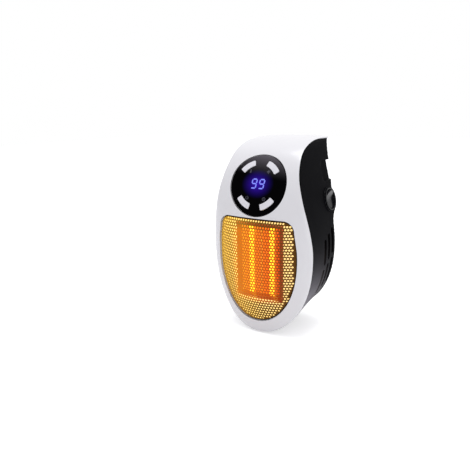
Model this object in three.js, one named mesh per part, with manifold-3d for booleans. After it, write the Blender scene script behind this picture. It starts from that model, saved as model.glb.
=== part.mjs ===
// Plug-in fan heater: a white front shell and a black rear shell hold a ceramic heater, a fan, two
// boards and a turning three-pin plug. Millimetres, +Z up, the front faces -Y and the pins point to
// +Y. The origin is the centre of the plug disc's rear face, which lies against the outlet.
import * as THREE from "three";
import { mergeVertices } from "three/addons/utils/BufferGeometryUtils.js";
import Module from "manifold-3d";

const wasm = await Module();
wasm.setup();

// Fits shared by all pieces
const GAP = 0.3; // between pieces that seat on each other
const OVERRUN = 10; // how far a cutter runs past what it cuts
const MERGE = 1e-4; // points closer than this are one
const WALL = 2.2; // both shells
const SCREW = { headRadius: 2.7, headHeight: 2, shankRadius: 1.2, pilotClearance: 0.3, drive: 0.9 };

// Outer body, shared by both shells, the panel and the grille
const BODY = {
  halfWidth: 51,
  topHalfWidth: 34.2,
  topZ: 28,
  widestZ: -72,
  tipZ: -147.5,
  heelZ: -139,
  wallY: -2, // rear face of the upper boss
  bossFootZ: -37.5,
  partingDepth: 72.5,
  crown: 15.5,
  topCrown: 2.2,
  crownStartZ: 0,
  crownFullZ: -66,
  chinReach: 7.5,
  draft: 2,
  rearRound: 8,
  topRearRound: 1.5,
  roundFullZ: -22,
};
const EDGE_POWER = 2.1; // superellipse of the crowned front
const OUTLINE_POWER = 2.15; // superellipse of the lower outline
const SHOULDER_POWER = 0.9;
// Parting line in the side view, as shares of its depth and of the height down to the widest place
const PARTING_SHARES = [
  [0, 0],
  [0.303, 0.004],
  [0.552, 0.034],
  [0.759, 0.104],
  [0.897, 0.22],
  [0.979, 0.36],
  [1, 0.52],
  [0.954, 0.76],
  [0.921, 0.93],
  [0.917, 1],
];
const HOOK = { width: 9, thickness: 1.6, reach: 5, root: 4, chinX: 15 };

const PANEL = {
  radius: 27.5,
  centreZ: -9,
  thickness: WALL,
  tiltSpan: 22,
};
const KEY = {
  rimSpace: 4.4,
  width: 5.3,
  halfAngleDeg: 19.5,
  proud: 0.4,
  clearance: 0.25,
  flangeWidth: 1,
  backDepth: 6.6,
  stemRadius: 1.3,
  travel: 0.5,
  stopClearance: 0.1,
};
const KEY_PLACES = [
  { name: "key_temperature", angleDeg: 127 },
  { name: "key_fan_speed", angleDeg: 53 },
  { name: "key_power", angleDeg: 235 },
  { name: "key_timer", angleDeg: 305 },
];
const CONTROL_BOARD = {
  depth: 15,
  rimInset: 0.5,
  flat: 20.3,
  thickness: 1.6,
  postRadius: 3.3,
  postSpace: 1.1,
  pilotDepth: 4.5,
  screwLength: 5.4,
};
const POST_ANGLES_DEG = [30, 150, 210, 330];
const TACT = { side: 6, height: 4.3, buttonRadius: 1.7, buttonHeight: 0.9 };
const DISPLAY = {
  width: 15,
  height: 14,
  depth: 7.2,
  panelClearance: 0.7,
  pinCount: 5,
  pinPitch: 2.54,
  pinWidth: 0.6,
  pinInset: 1.4,
};

const GRILLE = {
  sideMargin: 11, // from the body's side to the opening's, at the widest place
  topNarrowing: 2.4,
  panelMargin: 2,
  chinMargin: 13,
  cornerRadius: 9.5,
  thickness: 1,
  bulge: 8,
  flangeWidth: 2,
  holePitch: 9,
  holeRadius: 3.9,
  margin: 1.6,
  seatRingWidth: 2,
  seatInset: 2.9,
};
const BULGE_POWER = 5;

// Heater, duct and fan lie on one axis
const FAN_Z = -79.85;
const HEATER = {
  windowWidth: 43,
  windowHeight: 66,
  rim: 2,
  proud: 6.12, // in front of the seam's lower end
  length: 16.6,
  flange: 3,
  flangeSetback: 4.1,
  flangeThickness: 2,
  coreSetback: 5,
  coreDepth: 10.5,
  outerFinWidth: 7.9,
  barWidth: 4.7,
  stripWidth: 1,
  finPitch: 5,
  finWeb: 0.55,
  finRail: 0.6,
};
const GUIDE = { thickness: 1, rim: 4.5 };
const SHROUD = {
  wall: 1.6,
  heaterSpace: 4, // from the heater to its plate
  fanSpace: 3, // from its plate to the impeller
  earHalfWidth: 35.5,
  boreRadius: 31.5,
  tubeOverrun: 2, // behind the impeller
  postX: 31,
  postDrop: 7,
  postRadius: 3.5,
  screwLength: 12,
};
const IMPELLER = {
  radius: 30.2,
  hubRadius: 10,
  motorSpace: 1.7,
  depth: 13,
  bladeCount: 7,
  bladeChord: 15,
  bladeThickness: 1.3,
  rootPitchDeg: 42,
  tipPitchDeg: 24,
  camber: 1.6,
  hubWall: 1.8,
};
const MOTOR = { radius: 13.5, length: 14.4, standOff: 6.4, noseRadius: 4, noseHeight: 1.2 };
const SHAFT = { radius: 1, clearance: 0.3, length: 18.5, inMotor: 6.3 };
const BRACKET = {
  thickness: 1.6,
  cupWall: 1.4,
  cupHeight: 4,
  screwX: 20,
  earHalfHeight: 4.5,
  bossRadius: 3.2,
  screwLength: 3.4,
};
const CUTOUT = { radius: 6, height: 4.5, setback: 7, tab: 3 };

// Side slots, grips and rear intake of the rear shell
const SLOT = {
  width: 4.4,
  length: 24.4,
  setback: 24.3,
  columnPitch: 8.6,
  columns: 3,
  firstZ: -73.4,
  rise: 4,
  rowPitch: 28.6,
};
const GRIP = { frontY: -24.4, topZ: 7.8, bottomZ: -11, depth: 3, cornerRadius: 5 };
const INTAKE = { width: 3.4, pitch: 7.6, count: 7, radius: 27 };

// Round rocker switch on the right side
const SWITCH = {
  y: -18,
  z: -27.7,
  bezelRadius: 11.5,
  bezelProud: 1.6,
  seatDepth: 0.9,
  tubeRadius: 10.2,
  openingRadius: 9.1,
  wellDepth: 6,
  depth: 13,
  slopeSpan: 8,
  terminal: { width: 6.3, thickness: 0.8, length: 4.5, spacing: 7 },
};
const ROCKER = {
  radius: 8.5,
  lobe: 2.4,
  dip: 1.2,
  back: 2,
  tiltDeg: 11,
  pegRadius: 1.2,
  pegReach: 9.7,
  pegClearance: 0.2,
};

// Turning three-pin plug
const PLUG = {
  discRadius: 15,
  flangeRadius: 17,
  flangeThickness: 3,
  hubRadius: 11.7,
  hubDepth: 12,
  turnClearance: 0.3,
  bladeX: 6.35,
  bladeZ: 6,
  bladeHeight: 6.35,
  bladeThickness: 1.5,
  bladeLength: 17.5,
  groundZ: -5.9,
  groundRadius: 2.4,
  groundLength: 21.4,
  tail: 3,
  tipBevel: 1.4,
  pinClearance: 0.15,
};
const RETAINER = { outerRadius: 23.2, thickness: 2, screwRadius: 20.2, bossRadius: 2.6, screwLength: 4.6 };

// Power board behind the plug, with its parts on the front face
const POWER_BOARD = {
  setback: 38.48,
  thickness: 1.6,
  halfWidth: 25,
  topZ: 12,
  bottomZ: -34,
  postRadius: 2.4,
  postX: 22,
  postInset: 4,
  screwLength: 5,
};
const RELAY = { width: 19, height: 15.4, depth: 15, x: -12, z: -18.6 };
const FILM_CAPACITOR = { width: 18, height: 8, depth: 13, x: 13, z: -22 };
const SMOOTHING_CAPACITOR = { radius: 5, depth: 12, x: 15, z: -3 };
const BUZZER = { radius: 6, depth: 5.5, x: -12.5, z: 3 };

// Case screws near the top
const CASE_SCREW = {
  x: 24,
  z: 17,
  tubeRadius: 4.2,
  setback: 23.48,
  seatDepth: 7,
  reach: 7,
  bossRadius: 3.6,
};

// Places that follow from the sizes above, from the seam back to the motor and the lower back behind it
const seamY = BODY.wallY - BODY.partingDepth * PARTING_SHARES.at(-1)[0];
const heaterFrontY = seamY - HEATER.proud;
const heaterBackY = heaterFrontY + HEATER.length;
const heaterFlangeFrontY = heaterFrontY + HEATER.flangeSetback;
const coreFrontY = heaterFrontY + HEATER.coreSetback;
const shroudPlateY = heaterBackY + SHROUD.heaterSpace;
const shroudHalfHeight = HEATER.windowHeight / 2 + HEATER.rim + HEATER.flange;
const impellerFrontY = shroudPlateY + SHROUD.fanSpace;
const impellerBackY = impellerFrontY + IMPELLER.depth;
const shroudTubeEndY = impellerBackY + SHROUD.tubeOverrun;
const motorFrontY = impellerBackY + IMPELLER.motorSpace;
const motorBackY = motorFrontY + MOTOR.length;
const lowerBackY = motorBackY + MOTOR.standOff;
const shaftEndY = motorFrontY + SHAFT.inMotor;
const shaftFrontY = shaftEndY - SHAFT.length;
const cutoutY = shroudPlateY - CUTOUT.setback;
const powerBoardY = seamY + POWER_BOARD.setback;
const caseTubeEndY = seamY + CASE_SCREW.setback;
const caseSeatY = caseTubeEndY + CASE_SCREW.seatDepth;
const caseScrewEndY = caseTubeEndY - CASE_SCREW.reach;
const grilleHalfWidth = BODY.halfWidth - GRILLE.sideMargin;
const grilleTopHalfWidth = grilleHalfWidth - GRILLE.topNarrowing;
const grilleBottomZ = BODY.tipZ + GRILLE.chinMargin;
const grilleTopZ = PANEL.centreZ - PANEL.radius - GRILLE.panelMargin;
const keyOuterRadius = PANEL.radius - KEY.rimSpace;
const keyInnerRadius = keyOuterRadius - KEY.width;
const boardRadius = PANEL.radius - CONTROL_BOARD.rimInset;
const boardPostCircle = PANEL.radius + CONTROL_BOARD.postSpace;

// Facets
const RIBS_UP = 14;
const RIBS_DOWN = 8;
const ARC_STEPS = 10;
const SIDE_SHARES = [0.5, 1];
const ROUND_STEPS = 2;
const SEARCH_STEPS = 18;
const ROUND_SIDES = 20;
const SMALL_SIDES = 8;
const SCREW_SIDES = 6;
const CURVE_STEPS = 3;
const BLADE_STATIONS = 4;

const degrees = THREE.MathUtils.degToRad;
const smooth = (share) => share * share * (3 - 2 * share);
const clamp01 = (value) => Math.min(1, Math.max(0, value));

// Solids: three.js makes the shapes, and manifold-3d joins and cuts them

function shared(geometry) {
  const bare = geometry.clone();
  bare.deleteAttribute("normal");
  bare.deleteAttribute("uv");
  return mergeVertices(bare, MERGE);
}

// A solid from a closed mesh, with its faces turned out
function solid(geometry) {
  const merged = shared(geometry);
  const corners = merged.index.array;
  const facing = (turned) => {
    const kept = [];
    for (let i = 0; i < corners.length; i += 3) {
      const [a, b, c] = [corners[i], corners[i + 1], corners[i + 2]];
      if (a !== b && b !== c && c !== a) kept.push(a, ...(turned ? [c, b] : [b, c]));
    }
    return new wasm.Manifold(
      new wasm.Mesh({
        numProp: 3,
        vertProperties: new Float32Array(merged.attributes.position.array),
        triVerts: new Uint32Array(kept),
      }),
    );
  };
  const body = facing(false);
  return body.volume() > 0 ? body : facing(true);
}

function geometryOf(body) {
  const mesh = body.getMesh();
  const geometry = new THREE.BufferGeometry();
  geometry.setAttribute("position", new THREE.BufferAttribute(mesh.vertProperties, 3));
  geometry.setIndex(new THREE.BufferAttribute(mesh.triVerts, 1));
  const faceted = geometry.toNonIndexed();
  faceted.computeVertexNormals();
  return faceted;
}

const join = (first, ...others) => others.reduce((sum, other) => sum.add(other), first);
const cut = (first, ...tools) => tools.reduce((left, tool) => left.subtract(tool), first);

function block(low, high) {
  const size = high.map((value, axis) => value - low[axis]);
  const geometry = new THREE.BoxGeometry(...size);
  geometry.translate(...high.map((value, axis) => (value + low[axis]) / 2));
  return solid(geometry);
}

// A round bar along Y between two depths
function barAlongY(radius, x, z, fromY, toY, sides = SMALL_SIDES) {
  const geometry = new THREE.CylinderGeometry(radius, radius, toY - fromY, sides);
  geometry.translate(x, (fromY + toY) / 2, z);
  return solid(geometry);
}

// A shape drawn in X and Z, extruded along Y between two depths
function prismAlongY(shape, fromY, toY, steps = 1) {
  const geometry = new THREE.ExtrudeGeometry(shape, {
    depth: toY - fromY,
    bevelEnabled: false,
    steps,
    curveSegments: CURVE_STEPS,
  });
  const basis = new THREE.Matrix4().makeBasis(
    new THREE.Vector3(1, 0, 0),
    new THREE.Vector3(0, 0, 1),
    new THREE.Vector3(0, -1, 0),
  );
  geometry.applyMatrix4(basis);
  geometry.translate(0, toY, 0);
  return geometry;
}

// A shape drawn in Y and Z, extruded along X between two places
function prismAlongX(shape, fromX, toX) {
  const geometry = new THREE.ExtrudeGeometry(shape, {
    depth: toX - fromX,
    bevelEnabled: false,
    curveSegments: CURVE_STEPS,
  });
  const basis = new THREE.Matrix4().makeBasis(
    new THREE.Vector3(0, 1, 0),
    new THREE.Vector3(0, 0, 1),
    new THREE.Vector3(1, 0, 0),
  );
  geometry.applyMatrix4(basis);
  geometry.translate(fromX, 0, 0);
  return solid(geometry);
}

function shapeOf(points) {
  return new THREE.Shape(points.map(([x, y]) => new THREE.Vector2(x, y)));
}

function rectangle(halfWidth, lowZ, highZ) {
  return shapeOf([
    [-halfWidth, lowZ],
    [halfWidth, lowZ],
    [halfWidth, highZ],
    [-halfWidth, highZ],
  ]);
}

// A skin over a list of rings with equal point counts; the first and last rings may be capped
function loft(rings, { capStart = true, capEnd = true } = {}) {
  const count = rings[0].length;
  const positions = rings.flat().flatMap((point) => point.toArray());
  const corners = [];
  for (let ring = 0; ring + 1 < rings.length; ring += 1) {
    for (let i = 0; i < count; i += 1) {
      const next = (i + 1) % count;
      const a = ring * count + i;
      const b = ring * count + next;
      corners.push(a, b, b + count, a, b + count, a + count);
    }
  }
  const last = (rings.length - 1) * count;
  for (let i = 1; i + 1 < count; i += 1) {
    if (capStart) corners.push(0, i + 1, i);
    if (capEnd) corners.push(last, last + i, last + i + 1);
  }
  const geometry = new THREE.BufferGeometry();
  geometry.setAttribute("position", new THREE.Float32BufferAttribute(positions, 3));
  geometry.setIndex(corners);
  return geometry;
}

// Outer body: ribs run from the rear top edge over the front down to the bottom tip

const partingLine = new THREE.CatmullRomCurve3(
  PARTING_SHARES.map(
    ([depthShare, heightShare]) =>
      new THREE.Vector3(
        0,
        BODY.wallY - depthShare * BODY.partingDepth,
        BODY.topZ - heightShare * (BODY.topZ - BODY.widestZ),
      ),
  ),
);

function halfWidthAt(z) {
  const share = clamp01((BODY.topZ - z) / (BODY.topZ - BODY.widestZ));
  const flare = smooth(share ** SHOULDER_POWER);
  return BODY.topHalfWidth + (BODY.halfWidth - BODY.topHalfWidth) * flare;
}

function crownAt(z) {
  const share = clamp01((BODY.crownStartZ - z) / (BODY.crownStartZ - BODY.crownFullZ));
  return BODY.topCrown + (BODY.crown - BODY.topCrown) * smooth(share);
}

function rearRoundAt(z) {
  const share = clamp01((BODY.crownStartZ - z) / (BODY.crownStartZ - BODY.roundFullZ));
  return BODY.topRearRound + (BODY.rearRound - BODY.topRearRound) * smooth(share);
}

// A rib of the upper part, where the parting line bends from the top to the front
function upperRib(share, inset) {
  const point = partingLine.getPointAt(share);
  const along = partingLine.getTangentAt(share);
  const out = new THREE.Vector2(along.z, -along.y).normalize();
  const y = Math.min(point.y - out.x * inset, BODY.wallY - inset);
  const z = point.z - out.y * inset;
  return {
    y,
    z,
    heelZ: z,
    halfWidth: halfWidthAt(point.z) - inset,
    crown: crownAt(point.z),
    lean: Math.max(0, Math.atan2(out.y, -out.x)),
  };
}

// A rib of the lower part, whose outline is half a superellipse
function lowerRib(angle, inset) {
  const down = Math.sin(angle) ** (2 / OUTLINE_POWER);
  const wide = Math.max(0, Math.cos(angle)) ** (2 / OUTLINE_POWER);
  const widest = partingLine.getPointAt(1);
  return {
    y: widest.y - BODY.chinReach * down ** 4 + inset,
    z: BODY.widestZ - (BODY.widestZ - BODY.tipZ - inset) * down,
    heelZ: BODY.widestZ - (BODY.widestZ - BODY.heelZ - inset) * down,
    halfWidth: (BODY.halfWidth - inset) * wide,
    crown: BODY.crown * wide,
    lean: 0,
  };
}

function frontArc(rib) {
  const points = [];
  for (let i = 0; i <= ARC_STEPS; i += 1) {
    const angle = (i / ARC_STEPS - 0.5) * Math.PI;
    const across = Math.sign(angle) * Math.abs(Math.sin(angle)) ** (2 / EDGE_POWER);
    const rise = rib.crown * Math.max(0, Math.cos(angle)) ** (2 / EDGE_POWER);
    points.push(
      new THREE.Vector3(
        rib.halfWidth * across,
        rib.y - rise * Math.cos(rib.lean),
        rib.z + rise * Math.sin(rib.lean),
      ),
    );
  }
  return points;
}

// Points of one side, from the parting line to the rear face, with its draft and rounded rear edge
function sideStations(rib, inset) {
  const rearY = BODY.wallY - inset;
  const length = Math.max(0, rearY - rib.y);
  const round = Math.min(Math.max(rearRoundAt(rib.z) - inset, 0), length / 2, rib.halfWidth / 2);
  const straight = length - round;
  const stations = SIDE_SHARES.map((share) => [straight * share, 0]);
  for (let i = 1; i <= ROUND_STEPS; i += 1) {
    const angle = ((i / ROUND_STEPS) * Math.PI) / 2;
    stations.push([straight + round * Math.sin(angle), round * (1 - Math.cos(angle))]);
  }
  return stations.map(([back, inward]) => {
    const share = length > 0 ? back / length : 0;
    const drop = back > 0 ? clamp01(back / Math.max(lowerBackY - rib.y, back)) : 0;
    return new THREE.Vector3(
      rib.halfWidth * (1 - (BODY.draft / BODY.halfWidth) * share) - inward,
      rib.y + back,
      rib.z + (rib.heelZ - rib.z) * (1 - (1 - drop) ** 2),
    );
  });
}

const skins = new Map();

// The body's outer form, moved inwards by the inset
function bodyForm(inset) {
  if (skins.has(inset)) return skins.get(inset);
  const ribs = [];
  for (let i = 0; i <= RIBS_UP; i += 1) ribs.push(upperRib(i / RIBS_UP, inset));
  for (let i = 1; i <= RIBS_DOWN; i += 1) ribs.push(lowerRib(((i / RIBS_DOWN) * Math.PI) / 2, inset));
  const rings = ribs.map((rib) => {
    const right = sideStations(rib, inset);
    const left = right.map((point) => new THREE.Vector3(-point.x, point.y, point.z)).reverse();
    return [...left, ...frontArc(rib), ...right];
  });
  const form = solid(loft(rings, { capEnd: false })).subtract(backRelief(inset));
  skins.set(inset, form);
  return form;
}

// The space that keeps the lower back clear of the wall, with a cove under the boss
function backRelief(inset) {
  const radius = BODY.wallY - lowerBackY;
  const coveZ = BODY.bossFootZ - radius;
  const shape = new THREE.Shape();
  shape.moveTo(BODY.wallY + OVERRUN, coveZ + radius + inset);
  shape.lineTo(BODY.wallY, coveZ + radius + inset);
  shape.absarc(BODY.wallY, coveZ, radius + inset, Math.PI / 2, Math.PI, false);
  shape.lineTo(BODY.wallY - radius - inset, BODY.tipZ - OVERRUN);
  shape.lineTo(BODY.wallY + OVERRUN, BODY.tipZ - OVERRUN);
  return prismAlongX(shape, -BODY.halfWidth - OVERRUN, BODY.halfWidth + OVERRUN);
}

// Everything in front of and above the parting line, moved outwards by the shift
function partingBlock(shift) {
  const line = [];
  for (let i = 0; i <= RIBS_UP; i += 1) {
    const rib = upperRib(i / RIBS_UP, -shift);
    line.push([rib.y, rib.z]);
  }
  for (let i = 1; i <= RIBS_DOWN; i += 1) {
    const rib = lowerRib(((i / RIBS_DOWN) * Math.PI) / 2, 0);
    line.push([rib.y - shift, rib.z]);
  }
  const [tipY, tipZ] = line[line.length - 1];
  const [topY, topZ] = line[0];
  const frontY = BODY.wallY - BODY.partingDepth - BODY.crown - OVERRUN;
  const shape = shapeOf([
    [topY + OVERRUN, topZ],
    ...line,
    [tipY, tipZ - OVERRUN],
    [frontY, tipZ - OVERRUN],
    [frontY, topZ + OVERRUN],
    [topY + OVERRUN, topZ + OVERRUN],
  ]);
  return prismAlongX(shape, -BODY.halfWidth - OVERRUN, BODY.halfWidth + OVERRUN);
}

// Depth of the front surface, or of one inside it, over a place in the front view
function faceY(x, z, inset) {
  let rib;
  if (z < BODY.widestZ) {
    const down = clamp01((BODY.widestZ - z) / (BODY.widestZ - BODY.tipZ - inset));
    rib = lowerRib(Math.asin(down ** (OUTLINE_POWER / 2)), inset);
  } else {
    let low = 0;
    let high = 1;
    for (let i = 0; i < SEARCH_STEPS; i += 1) {
      const middle = (low + high) / 2;
      if (upperRib(middle, inset).z > z) low = middle;
      else high = middle;
    }
    rib = upperRib((low + high) / 2, inset);
  }
  const share = clamp01(Math.abs(x) / rib.halfWidth);
  return rib.y - rib.crown * (1 - share ** EDGE_POWER) ** (1 / EDGE_POWER);
}

// Top of a rib on the centre line
function apexAt(share) {
  const rib = upperRib(share, 0);
  const y = rib.y - rib.crown * Math.cos(rib.lean);
  return new THREE.Vector3(0, y, rib.z + rib.crown * Math.sin(rib.lean));
}

function apexAtHeight(z) {
  let low = 0;
  let high = 1;
  for (let i = 0; i < SEARCH_STEPS; i += 1) {
    const middle = (low + high) / 2;
    if (apexAt(middle).z > z) low = middle;
    else high = middle;
  }
  return apexAt((low + high) / 2);
}

// Panel frame: X to the right, Y up along the sloping face, Z out of it

const panelCentre = apexAtHeight(PANEL.centreZ);
const panelUp = apexAtHeight(PANEL.centreZ + PANEL.tiltSpan)
  .sub(apexAtHeight(PANEL.centreZ - PANEL.tiltSpan))
  .normalize();
const panelOut = new THREE.Vector3(1, 0, 0).cross(panelUp);
const panelFrame = new THREE.Matrix4()
  .makeBasis(new THREE.Vector3(1, 0, 0), panelUp, panelOut)
  .setPosition(panelCentre);

const onPanel = (geometry) => solid(geometry.applyMatrix4(panelFrame));

function panelDisc(radius, fromDepth, toDepth, x = 0, y = 0, sides = ROUND_SIDES) {
  const geometry = new THREE.CylinderGeometry(radius, radius, toDepth - fromDepth, sides);
  geometry.rotateX(Math.PI / 2);
  geometry.translate(x, y, -(fromDepth + toDepth) / 2);
  return onPanel(geometry);
}

function panelBlock(width, height, fromDepth, toDepth, x, y, turn = 0) {
  const geometry = new THREE.BoxGeometry(width, height, toDepth - fromDepth);
  geometry.rotateZ(turn);
  geometry.translate(x, y, -(fromDepth + toDepth) / 2);
  return onPanel(geometry);
}

// A curved key outline, grown on all sides by the margin
function keySector(angleDeg, margin, fromDepth, toDepth) {
  const middle = degrees(angleDeg);
  const inner = keyInnerRadius - margin;
  const outer = keyOuterRadius + margin;
  const half = degrees(KEY.halfAngleDeg);
  const innerHalf = half + margin / inner;
  const outerHalf = half + margin / outer;
  const shape = new THREE.Shape();
  shape.absarc(0, 0, outer, middle - outerHalf, middle + outerHalf, false);
  shape.absarc(0, 0, inner, middle + innerHalf, middle - innerHalf, true);
  const geometry = new THREE.ExtrudeGeometry(shape, {
    depth: toDepth - fromDepth,
    bevelEnabled: false,
    curveSegments: CURVE_STEPS,
  });
  geometry.translate(0, 0, -toDepth);
  return onPanel(geometry);
}

function keyCentre(angleDeg) {
  const radius = (keyInnerRadius + keyOuterRadius) / 2;
  return [radius * Math.cos(degrees(angleDeg)), radius * Math.sin(degrees(angleDeg))];
}

const panelSink = BODY.crown + OVERRUN; // reaches through the shell from either side
const guideFrontY = heaterFlangeFrontY - GAP - GUIDE.thickness;

// Grille outline in the front view, grown by the margin
function grilleOutline(margin) {
  const corner = GRILLE.cornerRadius + margin;
  const cornerX = grilleTopHalfWidth - GRILLE.cornerRadius;
  const cornerZ = grilleTopZ - GRILLE.cornerRadius;
  const right = [];
  for (let i = 0; i <= 4; i += 1) {
    const angle = (Math.PI / 2) * (1 - i / 4);
    right.push([cornerX + corner * Math.cos(angle), cornerZ + corner * Math.sin(angle)]);
  }
  for (let i = 1; i < 4; i += 1) {
    const share = i / 4;
    const spread = grilleHalfWidth - grilleTopHalfWidth;
    const x = grilleTopHalfWidth + margin + spread * Math.sin((share * Math.PI) / 2);
    right.push([x, cornerZ + (BODY.widestZ - cornerZ) * share]);
  }
  for (let i = 0; i <= 12; i += 1) {
    const angle = ((i / 12) * Math.PI) / 2;
    const wide = Math.max(0, Math.cos(angle)) ** (2 / OUTLINE_POWER);
    const down = Math.sin(angle) ** (2 / OUTLINE_POWER);
    right.push([
      (grilleHalfWidth + margin) * wide,
      BODY.widestZ - (BODY.widestZ - grilleBottomZ + margin) * down,
    ]);
  }
  const left = right.slice(0, -1).map(([x, z]) => [-x, z]);
  return [...right, ...left.reverse()].reverse();
}

function isInside(outline, x, z) {
  let inside = false;
  outline.forEach(([ax, az], i) => {
    const [bx, bz] = outline[(i + 1) % outline.length];
    if (az > z !== bz > z && x < ((bx - ax) * (z - az)) / (bz - az) + ax) inside = !inside;
  });
  return inside;
}

// Share of the way from the grille's middle to its edge
function grilleReach(x, z, edge) {
  const middleZ = (grilleTopZ + grilleBottomZ) / 2;
  let low = 0;
  let high = 2;
  for (let i = 0; i < SEARCH_STEPS; i += 1) {
    const middle = (low + high) / 2;
    if (isInside(edge, x / middle, middleZ + (z - middleZ) / middle)) high = middle;
    else low = middle;
  }
  return clamp01(high);
}

// Bends a flat sheet onto the face at an inset, with a bulge in front of it
function bendToFace(flat, inset, bulgeOf) {
  const geometry = shared(flat);
  const places = geometry.attributes.position;
  for (let i = 0; i < places.count; i += 1) {
    const x = places.getX(i);
    const z = places.getZ(i);
    places.setY(i, places.getY(i) + faceY(x, z, inset) - bulgeOf(x, z));
  }
  return solid(geometry);
}

// The pieces

const root = new THREE.Group();

const FINISH = {
  whiteShell: { color: 0xf1f1f4, roughness: 0.32 },
  blackShell: { color: 0x1d1c21, roughness: 0.55 },
  glossBlack: { color: 0x08080b, roughness: 0.08 },
  key: { color: 0xd9dadd, roughness: 0.4 },
  grille: { color: 0x2a2118, roughness: 0.45, metalness: 0.6 },
  guide: { color: 0xe9d9a6, roughness: 0.6 },
  frame: { color: 0x7a1c10, roughness: 0.6 },
  fin: { color: 0xd9572a, roughness: 0.4, metalness: 0.5 },
  bar: { color: 0xffc52e, roughness: 0.5 },
  duct: { color: 0x2c2b2e, roughness: 0.6 },
  impeller: { color: 0x33343a, roughness: 0.5 },
  steel: { color: 0xa8abb0, roughness: 0.35, metalness: 0.9 },
  brass: { color: 0xcfa85a, roughness: 0.3, metalness: 0.9 },
  board: { color: 0x1f5a38, roughness: 0.5 },
  bluePart: { color: 0x2f62a8, roughness: 0.45 },
  display: { color: 0x2a2d7a, roughness: 0.3 },
};

function add(name, body, finish) {
  const material = new THREE.MeshStandardMaterial({ metalness: 0, ...FINISH[finish] });
  const mesh = new THREE.Mesh(geometryOf(body), material);
  mesh.name = name;
  root.add(mesh);
}

// A slotted screw along Y: its head bears at seatY and its point lies the length further on
function screw(x, z, seatY, length, direction = -1) {
  const between = (radius, a, b) => barAlongY(radius, x, z, Math.min(a, b), Math.max(a, b), SCREW_SIDES);
  const headEnd = seatY - direction * SCREW.headHeight;
  const head = between(SCREW.headRadius, seatY, headEnd);
  const shank = between(SCREW.shankRadius, seatY, seatY + direction * length);
  const slotEnds = [headEnd + direction * SCREW.drive, headEnd - direction * SCREW.drive];
  const half = SCREW.drive / 2;
  const slot = block(
    [x - SCREW.headRadius, Math.min(...slotEnds), z - half],
    [x + SCREW.headRadius, Math.max(...slotEnds), z + half],
  );
  return cut(join(head, shank), slot);
}

const pilotRadius = SCREW.shankRadius + SCREW.pilotClearance;
const innerRearY = BODY.wallY - WALL;
const innerBackY = lowerBackY - WALL;

// The white front shell, with the openings for grille and panel, their seats and its hooks
function frontShell() {
  const wall = cut(bodyForm(0), bodyForm(WALL)).intersect(partingBlock(GAP / 2));
  const opening = solid(prismAlongY(shapeOf(grilleOutline(0)), BODY.tipZ, 0));
  const skin = cut(join(wall, ...boardPosts(), grilleSeat()), opening, panelPocket());
  return cut(join(skin, ...caseBosses(), ...hooks()), ...boardPostHoles());
}

// Ring behind the shell around the grille's flange, which the air guide closes
function grilleSeat() {
  const inner = GRILLE.flangeWidth + GAP;
  const ring = shapeOf(grilleOutline(inner + GRILLE.seatRingWidth));
  ring.holes.push(new THREE.Path(shapeOf(grilleOutline(inner)).getPoints()));
  const frontY = BODY.wallY - BODY.partingDepth - BODY.crown - OVERRUN;
  return solid(prismAlongY(ring, frontY, guideFrontY - GAP)).intersect(bodyForm(WALL / 2));
}

// The panel's room, down to its seats on the posts
function panelPocket() {
  const disc = panelDisc(PANEL.radius + GAP, -panelSink, panelSink);
  return cut(disc, bodyForm(PANEL.thickness + GAP));
}

function postPlace(angleDeg) {
  const angle = degrees(angleDeg);
  return [boardPostCircle * Math.cos(angle), boardPostCircle * Math.sin(angle)];
}

// Stepped posts: the panel rests on their shoulders and the control board on their ends
function boardPosts() {
  return POST_ANGLES_DEG.map((angleDeg) => {
    const [x, y] = postPlace(angleDeg);
    const end = CONTROL_BOARD.depth - GAP;
    const post = panelDisc(CONTROL_BOARD.postRadius, -panelSink, end, x, y, SMALL_SIDES);
    return post.intersect(bodyForm(WALL / 2));
  });
}

function boardPostHoles() {
  return POST_ANGLES_DEG.map((angleDeg) => {
    const [x, y] = postPlace(angleDeg);
    const start = CONTROL_BOARD.depth - CONTROL_BOARD.pilotDepth;
    return panelDisc(pilotRadius, start, CONTROL_BOARD.depth + OVERRUN, x, y, 8);
  });
}

// Two hooks at the chin that enter the rear shell
function hooks() {
  const inner = WALL + GAP + HOOK.thickness;
  const root = cut(bodyForm(WALL / 2), bodyForm(inner), partingBlock(HOOK.root));
  const half = HOOK.width / 2;
  const front = BODY.wallY - BODY.partingDepth - BODY.crown;
  const blank = join(
    root.intersect(partingBlock(GAP / 2)),
    cut(bodyForm(WALL + GAP), bodyForm(inner), partingBlock(HOOK.root)).intersect(partingBlock(-HOOK.reach)),
  );
  const room = solid(prismAlongY(shapeOf(grilleOutline(GRILLE.flangeWidth + GAP)), front, 0));
  return [-HOOK.chinX, HOOK.chinX].map((x) =>
    cut(blank.intersect(block([x - half, front, BODY.tipZ], [x + half, 0, BODY.widestZ])), room),
  );
}

const caseScrewPlaces = [
  [-CASE_SCREW.x, CASE_SCREW.z],
  [CASE_SCREW.x, CASE_SCREW.z],
];

function caseBosses() {
  return caseScrewPlaces.map(([x, z]) => {
    const frontY = BODY.wallY - BODY.partingDepth;
    const boss = barAlongY(CASE_SCREW.bossRadius, x, z, frontY, caseTubeEndY - GAP);
    const pilot = barAlongY(pilotRadius, x, z, caseScrewEndY - GAP, 0, 8);
    return cut(boss.intersect(bodyForm(WALL / 2)), pilot);
  });
}

// The black rear shell
function rearShell() {
  const grips = gripCutter(0);
  const cavity = cut(bodyForm(WALL), gripCutter(WALL));
  const wall = cut(bodyForm(0), partingBlock(-GAP / 2), cavity, grips, ...frontClearance());
  const vented = cut(wall, ...sideSlots(), ...rearIntake());
  const built = join(vented, switchPad(), rearPosts());
  const holes = [plugHole(), ...switchHole(), ...rearPostHoles()];
  return cut(built, ...holes);
}

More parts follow.
